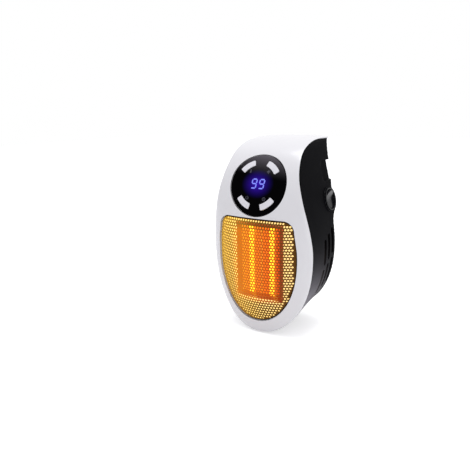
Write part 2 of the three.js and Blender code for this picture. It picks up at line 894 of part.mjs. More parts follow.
// Room for the front shell's bosses and for the panel with its posts
function frontClearance() {
  const radius = boardPostCircle + CONTROL_BOARD.postRadius + GAP;
  const frontY = BODY.wallY - BODY.partingDepth - BODY.crown;
  const bosses = caseScrewPlaces.map(([x, z]) =>
    barAlongY(CASE_SCREW.bossRadius + GAP, x, z, frontY, caseTubeEndY),
  );
  const depth = CONTROL_BOARD.depth + CONTROL_BOARD.thickness;
  return [cut(panelDisc(radius, -panelSink, depth), bodyForm(WALL + GAP)), ...bosses];
}

// Shallow finger grips at both rear edges; the margin leaves their wall
function gripCutter(margin) {
  const corner = GRIP.cornerRadius + margin;
  const shape = new THREE.Shape();
  const [front, top, bottom] = [GRIP.frontY - margin, GRIP.topZ + margin, GRIP.bottomZ - margin];
  shape.moveTo(OVERRUN, bottom);
  shape.lineTo(OVERRUN, top);
  shape.lineTo(front + corner, top);
  shape.absarc(front + corner, top - corner, corner, Math.PI / 2, Math.PI, false);
  shape.absarc(front + corner, bottom + corner, corner, Math.PI, (3 * Math.PI) / 2, false);
  const reach = BODY.halfWidth + OVERRUN;
  const floor = GRIP.depth + BODY.draft + margin;
  const core = shapeOf([
    [halfWidthAt(bottom) - floor, bottom],
    [halfWidthAt(top) - floor, top],
    [floor - halfWidthAt(top), top],
    [floor - halfWidthAt(bottom), bottom],
  ]);
  const inside = solid(prismAlongY(core, front - OVERRUN, 2 * OVERRUN));
  return cut(prismAlongX(shape, -reach, reach), inside);
}

function stadium(width, length) {
  const shape = new THREE.Shape();
  const radius = width / 2;
  const straight = length / 2 - radius;
  shape.absarc(0, straight, radius, 0, Math.PI, false);
  shape.absarc(0, -straight, radius, Math.PI, 2 * Math.PI, false);
  return shape;
}

function sideSlots() {
  const slots = [];
  const reach = BODY.halfWidth + OVERRUN;
  for (let column = 0; column < SLOT.columns; column += 1) {
    for (let row = 0; row < 2; row += 1) {
      const y = lowerBackY - SLOT.setback + column * SLOT.columnPitch;
      const z = SLOT.firstZ + column * SLOT.rise - row * SLOT.rowPitch;
      slots.push(prismAlongX(stadium(SLOT.width, SLOT.length), -reach, reach).translate([0, y, z]));
    }
  }
  return slots;
}

// Upright slots in a round field behind the fan
function rearIntake() {
  const slots = [];
  for (let i = 0; i < INTAKE.count; i += 1) {
    const x = (i - (INTAKE.count - 1) / 2) * INTAKE.pitch;
    const length = 2 * Math.sqrt(INTAKE.radius ** 2 - x ** 2);
    const slot = solid(prismAlongY(stadium(INTAKE.width, length), innerBackY - OVERRUN / 2, 0));
    slots.push(slot.translate([x, 0, FAN_Z]));
  }
  return slots;
}

// Switch frame: X out of the right side, Y as the part's, Z up along the side
const switchSlope = Math.atan2(
  halfWidthAt(SWITCH.z - SWITCH.slopeSpan) - halfWidthAt(SWITCH.z + SWITCH.slopeSpan),
  2 * SWITCH.slopeSpan,
);
const switchOut = new THREE.Vector3(Math.cos(switchSlope), 0, Math.sin(switchSlope));
const switchUp = new THREE.Vector3(-Math.sin(switchSlope), 0, Math.cos(switchSlope));
const switchDepthShare = (SWITCH.y - (BODY.wallY - BODY.partingDepth)) / BODY.partingDepth;
const switchFrame = new THREE.Matrix4()
  .makeBasis(switchOut, new THREE.Vector3(0, 1, 0), switchUp)
  .setPosition(halfWidthAt(SWITCH.z) - BODY.draft * switchDepthShare, SWITCH.y, SWITCH.z);

const onSide = (geometry) => solid(geometry.applyMatrix4(switchFrame));

function sideDisc(radius, from, to, sides = ROUND_SIDES) {
  const geometry = new THREE.CylinderGeometry(radius, radius, to - from, sides);
  geometry.rotateZ(Math.PI / 2);
  geometry.translate((from + to) / 2, 0, 0);
  return onSide(geometry);
}

// Thickened wall round the switch
function switchPad() {
  const pad = sideDisc(SWITCH.bezelRadius + GAP + WALL, -SWITCH.seatDepth - WALL, 0);
  return pad.intersect(bodyForm(WALL / 2));
}

function switchHole() {
  return [
    sideDisc(SWITCH.bezelRadius + GAP, -SWITCH.seatDepth, OVERRUN),
    sideDisc(SWITCH.tubeRadius + GAP, -SWITCH.depth, OVERRUN),
  ];
}

function plugHole() {
  return barAlongY(PLUG.discRadius + PLUG.turnClearance, 0, 0, innerRearY - GAP, OVERRUN, ROUND_SIDES);
}

const shroudPlateBackY = shroudPlateY + SHROUD.wall;
const shroudScrewPlaces = [-1, 1].flatMap((side) =>
  [-1, 1].map((rise) => [side * SHROUD.postX, FAN_Z + rise * (shroudHalfHeight - SHROUD.postDrop)]),
);
const boardScrewPlaces = [-1, 1].flatMap((side) => [
  [side * POWER_BOARD.postX, POWER_BOARD.topZ - POWER_BOARD.postInset],
  [side * POWER_BOARD.postX, POWER_BOARD.bottomZ + POWER_BOARD.postInset],
]);
const retainerScrewPlaces = [
  [-RETAINER.screwRadius, 0],
  [RETAINER.screwRadius, 0],
];
const bracketScrewPlaces = [
  [-BRACKET.screwX, FAN_Z],
  [BRACKET.screwX, FAN_Z],
];
const flangeFrontY = innerRearY - GAP - PLUG.flangeThickness;
const retainerBackY = flangeFrontY - GAP;
const bracketBackY = motorBackY + GAP + BRACKET.thickness;

function rearPosts() {
  const post = (radius, [x, z], frontY) => barAlongY(radius, x, z, frontY, BODY.wallY);
  const posts = join(
    ...shroudScrewPlaces.map((at) => post(SHROUD.postRadius, at, shroudPlateBackY + GAP)),
    ...boardScrewPlaces.map((at) => post(POWER_BOARD.postRadius, at, powerBoardY + GAP)),
    ...retainerScrewPlaces.map((at) => post(RETAINER.bossRadius, at, retainerBackY + GAP)),
    ...bracketScrewPlaces.map((at) => post(BRACKET.bossRadius, at, bracketBackY + GAP)),
    ...caseScrewPlaces.map((at) => post(CASE_SCREW.tubeRadius, at, caseTubeEndY)),
  );
  return posts.intersect(bodyForm(WALL / 2));
}

function rearPostHoles() {
  const hole = (radius, [x, z], fromY, toY, sides = 8) => barAlongY(radius, x, z, fromY, toY, sides);
  const headHole = SCREW.headRadius + GAP;
  return [
    ...shroudScrewPlaces.map((at) =>
      hole(pilotRadius, at, shroudPlateY - OVERRUN, shroudPlateBackY + GAP + SHROUD.screwLength),
    ),
    ...boardScrewPlaces.map((at) => hole(pilotRadius, at, powerBoardY, powerBoardY + OVERRUN)),
    ...retainerScrewPlaces.map((at) => hole(pilotRadius, at, retainerBackY, BODY.wallY - WALL / 2)),
    ...bracketScrewPlaces.map((at) => hole(pilotRadius, at, bracketBackY, lowerBackY - WALL / 2)),
    ...caseScrewPlaces.map((at) => hole(headHole, at, caseSeatY, OVERRUN, SMALL_SIDES)),
    ...caseScrewPlaces.map((at) => hole(pilotRadius, at, caseTubeEndY - OVERRUN, OVERRUN)),
  ];
}

// Domed metal grille: a perforated sheet on a flange that seats behind the shell
function grille() {
  const edge = grilleOutline(-GAP);
  const bulge = (x, z) => GRILLE.bulge * Math.sqrt(1 - grilleReach(x, z, edge) ** BULGE_POWER);
  return bendToFace(perforatedSheet(edge), GRILLE.seatInset, bulge);
}

// Flat sheet with a web of hexagonal holes inside a plain rim, and a flange outside the edge
function perforatedSheet(edge) {
  const rim = grilleOutline(GRILLE.flangeWidth);
  const triangles = between(rim, edge);
  const walls = rim.map((point, i) => [point, rim[(i + 1) % rim.length]]);
  const open = grilleOutline(-GRILLE.margin);
  const web = new Map();
  for (const [x, z] of holePlaces()) {
    const cell = hexagon(x, z, GRILLE.holePitch / Math.sqrt(3));
    const hole = hexagon(x, z, GRILLE.holeRadius);
    if (!cell.every((corner) => isInside(open, ...corner))) continue;
    cell.forEach((corner, i) => {
      const next = (i + 1) % cell.length;
      triangles.push([corner, cell[next], hole[next]], [corner, hole[next], hole[i]]);
      walls.push([hole[next], hole[i]]);
      const [start, end] = [placeKey(corner), placeKey(cell[next])];
      if (web.has(end) && web.get(end).has(start)) web.get(end).delete(start);
      else web.set(start, (web.get(start) ?? new Map()).set(end, cell[next]));
    });
  }
  triangles.push(...between(edge, loopOf(web)));
  return sheetGeometry(triangles, walls, GRILLE.thickness);
}

function holePlaces() {
  const places = [];
  const rowPitch = GRILLE.holePitch * Math.sin(Math.PI / 3);
  const rows = Math.ceil((grilleTopZ - grilleBottomZ) / rowPitch);
  const columns = Math.ceil(grilleHalfWidth / GRILLE.holePitch);
  const middleZ = (grilleTopZ + grilleBottomZ) / 2;
  for (let row = 0; row <= rows; row += 1) {
    for (let column = -columns; column <= columns; column += 1) {
      const x = (column + (row % 2) / 2) * GRILLE.holePitch;
      places.push([x, middleZ + (rows / 2 - row) * rowPitch]);
    }
  }
  return places;
}

function hexagon(x, z, radius) {
  return Array.from({ length: 6 }, (_, i) => {
    const angle = ((i + 0.5) * Math.PI) / 3;
    return [x + radius * Math.cos(angle), z + radius * Math.sin(angle)];
  });
}

const placeKey = ([x, z]) => Math.round(x / MERGE) + "," + Math.round(z / MERGE);

// Follows the web's outer edges round into one loop
function loopOf(web) {
  const start = [...web.keys()].find((key) => web.get(key).size > 0);
  const loop = [];
  let at = start;
  do {
    const [key, place] = [...web.get(at).entries()][0];
    loop.push(place);
    at = key;
  } while (at !== start);
  return loop;
}

// Triangles that fill the space between two loops
function between(outer, inner) {
  const points = [...outer, ...inner];
  const [contour, hole] = [outer, inner].map((loop) => loop.map(([x, z]) => new THREE.Vector2(x, z)));
  return THREE.ShapeUtils.triangulateShape(contour, [hole]).map((corners) => corners.map((i) => points[i]));
}

// A sheet from triangles in X and Z, with walls that follow the triangles' open edges
function sheetGeometry(triangles, walls, thickness) {
  const positions = [];
  const push = (depth, ...places) => places.forEach(([x, z]) => positions.push(x, depth, z));
  for (const [a, b, c] of triangles) {
    const turns = (b[0] - a[0]) * (c[1] - a[1]) - (b[1] - a[1]) * (c[0] - a[0]) > 0;
    const [second, third] = turns ? [b, c] : [c, b];
    push(0, a, second, third);
    push(thickness, a, third, second);
  }
  for (const [a, b] of walls) {
    push(0, b, a);
    push(thickness, a);
    push(0, b);
    push(thickness, a, b);
  }
  const geometry = new THREE.BufferGeometry();
  geometry.setAttribute("position", new THREE.Float32BufferAttribute(positions, 3));
  return geometry;
}

// Gloss panel flush with the shell, with an opening for each key
function controlPanel() {
  const disc = panelDisc(PANEL.radius, -panelSink, panelSink);
  const skin = cut(bodyForm(0), bodyForm(PANEL.thickness)).intersect(disc);
  const holes = KEY_PLACES.map(({ angleDeg }) =>
    keySector(angleDeg, KEY.clearance, -panelSink, panelSink),
  );
  return cut(skin, ...holes);
}

const tactTopDepth = CONTROL_BOARD.depth - TACT.height - TACT.buttonHeight - GAP;

// A key: its curved cap follows the panel, a flange keeps it in and a stem reaches the switch
function key(angleDeg) {
  const cap = bodyForm(-KEY.proud).intersect(keySector(angleDeg, 0, -panelSink, KEY.backDepth));
  const flange = bodyForm(PANEL.thickness + GAP).intersect(
    keySector(angleDeg, KEY.flangeWidth, -panelSink, KEY.backDepth),
  );
  const [x, y] = keyCentre(angleDeg);
  const stemEnd = tactTopDepth - KEY.travel - KEY.stopClearance;
  const stem = panelDisc(KEY.stemRadius, PANEL.thickness, stemEnd, x, y, SCREW_SIDES);
  return join(cap, flange, stem);
}

function tactSwitch(angleDeg) {
  const [x, y] = keyCentre(angleDeg);
  const bodyTop = CONTROL_BOARD.depth - GAP - TACT.height;
  const body = panelBlock(TACT.side, TACT.side, bodyTop, CONTROL_BOARD.depth - GAP, x, y);
  const button = panelDisc(TACT.buttonRadius, tactTopDepth, bodyTop + GAP, x, y, SCREW_SIDES);
  return join(body, button);
}

function controlBoard() {
  const back = CONTROL_BOARD.depth + CONTROL_BOARD.thickness;
  const ears = POST_ANGLES_DEG.map((angleDeg) => {
    const [x, y] = postPlace(angleDeg);
    return panelDisc(CONTROL_BOARD.postRadius, CONTROL_BOARD.depth, back, x, y, SMALL_SIDES);
  });
  const disc = panelDisc(boardRadius, CONTROL_BOARD.depth, back);
  const low = -boardRadius - CONTROL_BOARD.postRadius;
  const middle = (low - CONTROL_BOARD.flat) / 2;
  const trim = panelBlock(4 * boardRadius, -low - CONTROL_BOARD.flat, 0, 2 * back, 0, middle);
  return cut(join(disc, ...ears), trim, ...boardPostHoles());
}

// Screw that holds the control board on a post
function controlBoardScrew(angleDeg) {
  const [x, y] = postPlace(angleDeg);
  const seat = CONTROL_BOARD.depth + CONTROL_BOARD.thickness + GAP;
  const headEnd = seat + SCREW.headHeight;
  const head = panelDisc(SCREW.headRadius, seat, headEnd, x, y, SCREW_SIDES);
  const slotStart = headEnd - SCREW.drive;
  const tip = seat - CONTROL_BOARD.screwLength;
  const shank = panelDisc(SCREW.shankRadius, tip, slotStart, x, y, SCREW_SIDES);
  const slot = panelBlock(2 * SCREW.headRadius, SCREW.drive, slotStart, headEnd + SCREW.drive, x, y);
  return cut(join(head, shank), slot);
}

// Two-digit display close behind the panel, on two rows of pins
function displayModule() {
  const front = PANEL.thickness + DISPLAY.panelClearance;
  const body = panelBlock(DISPLAY.width, DISPLAY.height, front, front + DISPLAY.depth, 0, 0);
  const pins = [];
  for (let i = 0; i < DISPLAY.pinCount; i += 1) {
    const x = (i - (DISPLAY.pinCount - 1) / 2) * DISPLAY.pinPitch;
    for (const side of [-1, 1]) {
      const y = side * (DISPLAY.height / 2 - DISPLAY.pinInset);
      const end = CONTROL_BOARD.depth - GAP;
      pins.push(panelBlock(DISPLAY.pinWidth, DISPLAY.pinWidth, front + DISPLAY.depth - GAP, end, x, y));
    }
  }
  return join(body, ...pins);
}

// Cream plate around the heater, closed against the grille's seat ring
function airGuide() {
  const plate = solid(
    prismAlongY(shapeOf(grilleOutline(GUIDE.rim)), guideFrontY, guideFrontY + GUIDE.thickness),
  );
  const width = HEATER.windowWidth / 2 + HEATER.rim + GAP;
  const height = HEATER.windowHeight / 2 + HEATER.rim + GAP;
  const window = rectangle(width, FAN_Z - height, FAN_Z + height);
  return cut(plate, solid(prismAlongY(window, guideFrontY - OVERRUN, guideFrontY + OVERRUN)));
}

function heaterTube(growth, fromY, toY) {
  const halfWidth = HEATER.windowWidth / 2 + growth;
  const halfHeight = HEATER.windowHeight / 2 + growth;
  return solid(prismAlongY(rectangle(halfWidth, FAN_Z - halfHeight, FAN_Z + halfHeight), fromY, toY));
}

const heaterFlangeBackY = heaterFlangeFrontY + HEATER.flangeThickness;

// Heat-proof frame whose rim passes through the air guide
function heaterFrame() {
  const body = heaterTube(HEATER.rim, heaterFrontY, heaterBackY);
  const flange = heaterTube(HEATER.rim + HEATER.flange, heaterFlangeFrontY, heaterFlangeBackY);
  return cut(join(body, flange), heaterTube(0, heaterFrontY - OVERRUN, heaterBackY + OVERRUN));
}

// The core from left to right: fins, heating bar, fins, centre strip and the mirror of these
const coreHalfWidth = HEATER.windowWidth / 2 - GAP;
const innerFinWidth =
  coreHalfWidth - HEATER.stripWidth / 2 - HEATER.outerFinWidth - HEATER.barWidth - 3 * GAP;
const coreLowZ = FAN_Z - HEATER.windowHeight / 2 + GAP;
const coreHighZ = FAN_Z + HEATER.windowHeight / 2 - GAP;

// One corrugated fin stack: a zigzag web between two rails
function finStack(lowX, highX) {
  const shape = shapeOf([
    [lowX, coreLowZ],
    [highX, coreLowZ],
    [highX, coreHighZ],
    [lowX, coreHighZ],
  ]);
  const [left, right] = [lowX + HEATER.finRail, highX - HEATER.finRail];
  const folds = Math.floor((coreHighZ - coreLowZ - 2 * HEATER.finRail) / HEATER.finPitch);
  const pitch = (coreHighZ - coreLowZ - 2 * HEATER.finRail) / folds;
  const web = HEATER.finWeb;
  for (let i = 0; i < folds; i += 1) {
    const z = coreLowZ + HEATER.finRail + i * pitch;
    shape.holes.push(trianglePath([left, z + web], [left, z + pitch - web], [right - web, z + pitch / 2]));
    if (i + 1 === folds) continue;
    const base = z + pitch / 2;
    shape.holes.push(trianglePath([right, base + web], [right, base + pitch - web], [left + web, z + pitch]));
  }
  return solid(prismAlongY(shape, coreFrontY, coreFrontY + HEATER.coreDepth));
}

function trianglePath(...points) {
  return new THREE.Path(points.map(([x, z]) => new THREE.Vector2(x, z)));
}

function coreBlock(lowX, highX) {
  const backY = coreFrontY + HEATER.coreDepth;
  return block([lowX, coreFrontY, coreLowZ], [highX, backY, coreHighZ]);
}

// Duct from the heater's flange to the fan, with a plate on four ears and a round tube
function fanShroud() {
  const ductFrontY = heaterFlangeBackY + GAP;
  const outer = heaterTube(HEATER.rim + HEATER.flange, ductFrontY, shroudPlateBackY);
  const grown = HEATER.rim + HEATER.flange - SHROUD.wall;
  const inner = heaterTube(grown, ductFrontY - OVERRUN, shroudPlateY);
  const plate = block(
    [-SHROUD.earHalfWidth, shroudPlateY, FAN_Z - shroudHalfHeight],
    [SHROUD.earHalfWidth, shroudPlateBackY, FAN_Z + shroudHalfHeight],
  ).intersect(bodyForm(WALL + GAP));
  const tubeRadius = SHROUD.boreRadius + SHROUD.wall;
  const tube = barAlongY(tubeRadius, 0, FAN_Z, shroudPlateY, shroudTubeEndY, ROUND_SIDES);
  const bore = barAlongY(SHROUD.boreRadius, 0, FAN_Z, shroudPlateY - OVERRUN, 0, ROUND_SIDES);
  const holes = shroudScrewPlaces.map(([x, z]) =>
    barAlongY(pilotRadius, x, z, shroudPlateY - OVERRUN, 0, SCREW_SIDES),
  );
  return cut(join(outer, plate, tube), inner, bore, ...holes);
}

// Axial impeller with twisted, cambered blades on a cup-shaped hub
function impeller() {
  const backY = impellerFrontY + IMPELLER.depth;
  const hub = barAlongY(IMPELLER.hubRadius, 0, 0, impellerFrontY, backY, ROUND_SIDES);
  const cupRadius = IMPELLER.hubRadius - IMPELLER.hubWall;
  const cup = barAlongY(cupRadius, 0, 0, impellerFrontY + IMPELLER.hubWall, backY + OVERRUN);
  const stub = barAlongY(SHAFT.radius + IMPELLER.hubWall, 0, 0, impellerFrontY, backY);
  const boreRadius = SHAFT.radius + SHAFT.clearance;
  const bore = barAlongY(boreRadius, 0, 0, shaftFrontY - GAP, backY + OVERRUN, SCREW_SIDES);
  const blades = [];
  for (let i = 0; i < IMPELLER.bladeCount; i += 1) {
    blades.push(fanBlade().rotate([0, (i / IMPELLER.bladeCount) * 360, 0]));
  }
  return cut(join(cut(join(hub, ...blades), cup), stub), bore).translate([0, 0, FAN_Z]);
}

// A blade lofted outwards along Z from a steep root to a flat tip
function fanBlade() {
  const rings = [];
  const root = IMPELLER.hubRadius - IMPELLER.hubWall / 2;
  const middleY = impellerFrontY + IMPELLER.depth / 2;
  for (let i = 0; i <= BLADE_STATIONS; i += 1) {
    const share = i / BLADE_STATIONS;
    const radius = root + (IMPELLER.radius - root) * share;
    const pitch = degrees(IMPELLER.rootPitchDeg + (IMPELLER.tipPitchDeg - IMPELLER.rootPitchDeg) * share);
    const half = (IMPELLER.bladeChord / 2) * (0.7 + 0.3 * share);
    const thick = IMPELLER.bladeThickness / 2;
    const section = [
      [-half, -thick],
      [0, IMPELLER.camber - thick],
      [half, -thick],
      [half, thick],
      [0, IMPELLER.camber + thick],
      [-half, thick],
    ];
    rings.push(
      section.map(([along, off]) => {
        const around = along * Math.cos(pitch) - off * Math.sin(pitch);
        const depth = along * Math.sin(pitch) + off * Math.cos(pitch);
        const angle = around / radius;
        return new THREE.Vector3(radius * Math.sin(angle), middleY + depth, radius * Math.cos(angle));
      }),
    );
  }
  return solid(loft(rings));
}

const fanShaft = () => barAlongY(SHAFT.radius, 0, FAN_Z, shaftFrontY, shaftEndY);

function fanMotor() {
  const body = barAlongY(MOTOR.radius, 0, FAN_Z, motorFrontY, motorBackY, ROUND_SIDES);
  const nose = barAlongY(MOTOR.noseRadius, 0, FAN_Z, motorFrontY - MOTOR.noseHeight, motorBackY);
  const bore = barAlongY(SHAFT.radius + SHAFT.clearance, 0, FAN_Z, motorFrontY - OVERRUN, shaftEndY + GAP);
  return cut(join(body, nose), bore);
}

// Cup that holds the motor's rear end, with an ear on each side
function motorBracket() {
  const plateFrontY = motorBackY + GAP;
  const outer = MOTOR.radius + GAP + BRACKET.cupWall;
  const cup = barAlongY(outer, 0, FAN_Z, plateFrontY - BRACKET.cupHeight, bracketBackY, ROUND_SIDES);
  const well = barAlongY(MOTOR.radius + GAP, 0, FAN_Z, 2 * plateFrontY, plateFrontY, ROUND_SIDES);
  const reach = BRACKET.screwX + BRACKET.earHalfHeight;
  const ears = block(
    [-reach, plateFrontY, FAN_Z - BRACKET.earHalfHeight],
    [reach, bracketBackY, FAN_Z + BRACKET.earHalfHeight],
  );
  const holes = bracketScrewPlaces.map(([x, z]) =>
    barAlongY(pilotRadius, x, z, 2 * plateFrontY, 0, SCREW_SIDES),
  );
  return cut(join(cut(cup, well), cut(ears, well)), ...holes);
}

// Round thermal switch with two tabs, on top of the duct
function thermalCutout() {
  const z = FAN_Z + HEATER.windowHeight / 2 + HEATER.rim + HEATER.flange + GAP;
  const geometry = new THREE.CylinderGeometry(CUTOUT.radius, CUTOUT.radius, CUTOUT.height, SMALL_SIDES);
  geometry.rotateX(Math.PI / 2);
  geometry.translate(0, cutoutY, z + CUTOUT.height / 2);
  const reach = CUTOUT.radius + CUTOUT.tab;
  const half = CUTOUT.tab / 2;
  const tabs = block([-reach, cutoutY - half, z], [reach, cutoutY + half, z + SHROUD.wall / 2]);
  return join(solid(geometry), tabs);
}

// Switch housing with its round bezel, a well for the rocker and two terminals
function rockerSwitchBody() {
  const bezel = sideDisc(SWITCH.bezelRadius, GAP - SWITCH.seatDepth, SWITCH.bezelProud);
  const tube = sideDisc(SWITCH.tubeRadius, -SWITCH.depth, 0);
  const well = sideDisc(SWITCH.openingRadius, -SWITCH.wellDepth, OVERRUN);
  const sockets = sidePegs(ROCKER.pegRadius + ROCKER.pegClearance, ROCKER.pegReach + ROCKER.pegClearance);
  const { width, thickness, length, spacing } = SWITCH.terminal;
  const terminals = [-1, 1].map((side) => {
    const geometry = new THREE.BoxGeometry(length + WALL, width, thickness);
    geometry.translate(WALL / 2 - SWITCH.depth - length / 2, 0, (side * spacing) / 2);
    return onSide(geometry);
  });
  return join(cut(join(bezel, tube), well, sockets), ...terminals);
}

function sidePegs(radius, reach) {
  return onSide(new THREE.CylinderGeometry(radius, radius, 2 * reach, SCREW_SIDES));
}

// Rocker at its off stop, upper lobe out
function rocker() {
  const { radius, lobe, dip, back } = ROCKER;
  const profile = shapeOf([
    [-back, -radius],
    [-back, radius],
    [lobe, radius],
    [dip, 0],
    [lobe, -radius],
  ]);
  const geometry = new THREE.ExtrudeGeometry(profile, { depth: 2 * radius, bevelEnabled: false });
  const basis = new THREE.Matrix4().makeBasis(
    new THREE.Vector3(1, 0, 0),
    new THREE.Vector3(0, 0, 1),
    new THREE.Vector3(0, -1, 0),
  );
  geometry.applyMatrix4(basis);
  geometry.translate(0, radius, 0);
  const disc = new THREE.CylinderGeometry(radius, radius, 4 * lobe, ROUND_SIDES);
  disc.rotateZ(Math.PI / 2);
  const pegLength = 2 * ROCKER.pegReach;
  const pegs = new THREE.CylinderGeometry(ROCKER.pegRadius, ROCKER.pegRadius, pegLength, SCREW_SIDES);
  const level = join(solid(geometry).intersect(solid(disc)), solid(pegs));
  const tilted = new THREE.Matrix4().makeRotationY(degrees(ROCKER.tiltDeg));
  return level.transform(switchFrame.clone().multiply(tilted).toArray());
}

// Plug disc: its rear face touches the outlet, and an inner flange lets it turn in the shell
function plugDisc() {
  const disc = barAlongY(PLUG.discRadius, 0, 0, flangeFrontY, 0, ROUND_SIDES);
  const flange = barAlongY(
    PLUG.flangeRadius,
    0,
    0,
    flangeFrontY,
    flangeFrontY + PLUG.flangeThickness,
    ROUND_SIDES,
  );
  const hub = barAlongY(PLUG.hubRadius, 0, 0, -PLUG.hubDepth, flangeFrontY + GAP, ROUND_SIDES);
  const slots = [-1, 1].map((side) => bladeForm(side, PLUG.pinClearance));
  return cut(join(disc, flange, hub), ...slots, groundForm(PLUG.pinClearance));
}

function bladeForm(side, growth) {
  const halfX = PLUG.bladeThickness / 2 + growth;
  const halfZ = PLUG.bladeHeight / 2 + growth;
  const x = side * PLUG.bladeX;
  const tail = -PLUG.hubDepth - PLUG.tail;
  const bevel = PLUG.tipBevel;
  const shape = shapeOf([
    [tail, PLUG.bladeZ - halfZ],
    [PLUG.bladeLength - bevel, PLUG.bladeZ - halfZ],
    [PLUG.bladeLength, PLUG.bladeZ - halfZ + bevel],
    [PLUG.bladeLength, PLUG.bladeZ + halfZ - bevel],
    [PLUG.bladeLength - bevel, PLUG.bladeZ + halfZ],
    [tail, PLUG.bladeZ + halfZ],
  ]);
  return prismAlongX(shape, x - halfX, x + halfX);
}

// Round ground pin with a domed tip
function groundForm(growth) {
  const radius = PLUG.groundRadius + growth;
  const tail = -PLUG.hubDepth - PLUG.tail;
  const profile = [new THREE.Vector2(0, tail), new THREE.Vector2(radius, tail)];
  for (let i = 0; i <= CURVE_STEPS; i += 1) {
    const angle = ((i / CURVE_STEPS) * Math.PI) / 2;
    profile.push(
      new THREE.Vector2(
        radius * Math.max(0, Math.cos(angle)),
        PLUG.groundLength - PLUG.groundRadius + radius * Math.sin(angle),
      ),
    );
  }
  const geometry = new THREE.LatheGeometry(profile, SMALL_SIDES);
  geometry.translate(0, 0, PLUG.groundZ);
  return solid(geometry);
}

// Ring that keeps the plug's flange against the shell
function plugRetainer() {
  const frontY = retainerBackY - RETAINER.thickness;
  const ring = barAlongY(RETAINER.outerRadius, 0, 0, frontY, retainerBackY, ROUND_SIDES);
  const hole = barAlongY(PLUG.hubRadius + PLUG.turnClearance, 0, 0, 2 * frontY, 0, ROUND_SIDES);
  const holes = retainerScrewPlaces.map(([x, z]) => barAlongY(pilotRadius, x, z, 2 * frontY, 0, SCREW_SIDES));
  const notches = boardScrewPlaces.map(([x, z]) =>
    barAlongY(POWER_BOARD.postRadius + GAP, x, z, 2 * frontY, 0, SMALL_SIDES),
  );
  return cut(ring, hole, ...holes, ...notches);
}

const powerBoardFrontY = powerBoardY - POWER_BOARD.thickness;

function powerBoard() {
  const board = block(
    [-POWER_BOARD.halfWidth, powerBoardFrontY, POWER_BOARD.bottomZ],
    [POWER_BOARD.halfWidth, powerBoardY, POWER_BOARD.topZ],
  );
  const holes = boardScrewPlaces.map(([x, z]) =>
    barAlongY(pilotRadius, x, z, 2 * powerBoardFrontY, 0, SCREW_SIDES),
  );
  return cut(board, ...holes);
}

function boardBlock({ width, height, depth, x, z }) {
  const backY = powerBoardFrontY - GAP;
  return block([x - width / 2, backY - depth, z - height / 2], [x + width / 2, backY, z + height / 2]);
}

function boardDrum({ radius, depth, x, z }) {
  const backY = powerBoardFrontY - GAP;
  return barAlongY(radius, x, z, backY - depth, backY, SMALL_SIDES + 2);
}

add("front_shell", frontShell(), "whiteShell");
add("rear_shell", rearShell(), "blackShell");
add("grille", grille(), "grille");
add("control_panel", controlPanel(), "glossBlack");
KEY_PLACES.forEach(({ name, angleDeg }) => add(name, key(angleDeg), "key"));
KEY_PLACES.forEach(({ name, angleDeg }) => {
  add(name.replace("key", "tact_switch"), tactSwitch(angleDeg), "duct");
});
add("control_board", controlBoard(), "board");
add("display_module", displayModule(), "display");
add("air_guide", airGuide(), "guide");
add("heater_frame", heaterFrame(), "frame");

const stripEdge = HEATER.stripWidth / 2;
const innerFinEdge = stripEdge + GAP + innerFinWidth;
const barEdge = innerFinEdge + GAP + HEATER.barWidth;
add("fin_stack_1", finStack(-coreHalfWidth, -barEdge - GAP), "fin");
add("heating_bar_left", coreBlock(-barEdge, -innerFinEdge - GAP), "bar");
add("fin_stack_2", finStack(-innerFinEdge, -stripEdge - GAP), "fin");
add("centre_strip", coreBlock(-stripEdge, stripEdge), "bar");
add("fin_stack_3", finStack(stripEdge + GAP, innerFinEdge), "fin");
add("heating_bar_right", coreBlock(innerFinEdge + GAP, barEdge), "bar");
add("fin_stack_4", finStack(barEdge + GAP, coreHalfWidth), "fin");

add("thermal_cutout", thermalCutout(), "steel");
add("fan_shroud", fanShroud(), "duct");
add("impeller", impeller(), "impeller");
add("fan_shaft", fanShaft(), "steel");
add("fan_motor", fanMotor(), "steel");
add("motor_bracket", motorBracket(), "duct");
add("rocker_switch_body", rockerSwitchBody(), "blackShell");
add("rocker", rocker(), "glossBlack");
add("plug_disc", plugDisc(), "blackShell");
add("blade_left", bladeForm(-1, 0), "brass");
add("blade_right", bladeForm(1, 0), "brass");
add("ground_pin", groundForm(0), "brass");
add("plug_retainer", plugRetainer(), "duct");
add("power_board", powerBoard(), "board");
add("relay", boardBlock(RELAY), "bluePart");
add("film_capacitor", boardBlock(FILM_CAPACITOR), "bar");
add("smoothing_capacitor", boardDrum(SMOOTHING_CAPACITOR), "duct");
add("buzzer", boardDrum(BUZZER), "duct");

caseScrewPlaces.forEach(([x, z], i) => {
  const seatY = caseSeatY + GAP;
  add("case_screw_" + (i + 1), screw(x, z, seatY, seatY - caseScrewEndY), "steel");
});
shroudScrewPlaces.forEach(([x, z], i) => {
  add("shroud_screw_" + (i + 1), screw(x, z, shroudPlateY - GAP, SHROUD.screwLength, 1), "steel");
});
retainerScrewPlaces.forEach(([x, z], i) => {
  const seatY = retainerBackY - RETAINER.thickness - GAP;
  add("retainer_screw_" + (i + 1), screw(x, z, seatY, RETAINER.screwLength, 1), "steel");
});
bracketScrewPlaces.forEach(([x, z], i) => {
  add("bracket_screw_" + (i + 1), screw(x, z, motorBackY, BRACKET.screwLength, 1), "steel");
});
boardScrewPlaces.forEach(([x, z], i) => {
  const seatY = powerBoardFrontY - GAP;
  add("power_board_screw_" + (i + 1), screw(x, z, seatY, POWER_BOARD.screwLength, 1), "steel");
});
POST_ANGLES_DEG.forEach((angleDeg, i) => {
  add("control_board_screw_" + (i + 1), controlBoardScrew(angleDeg), "steel");
});

export default root;
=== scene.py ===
import math
from collections import Counter

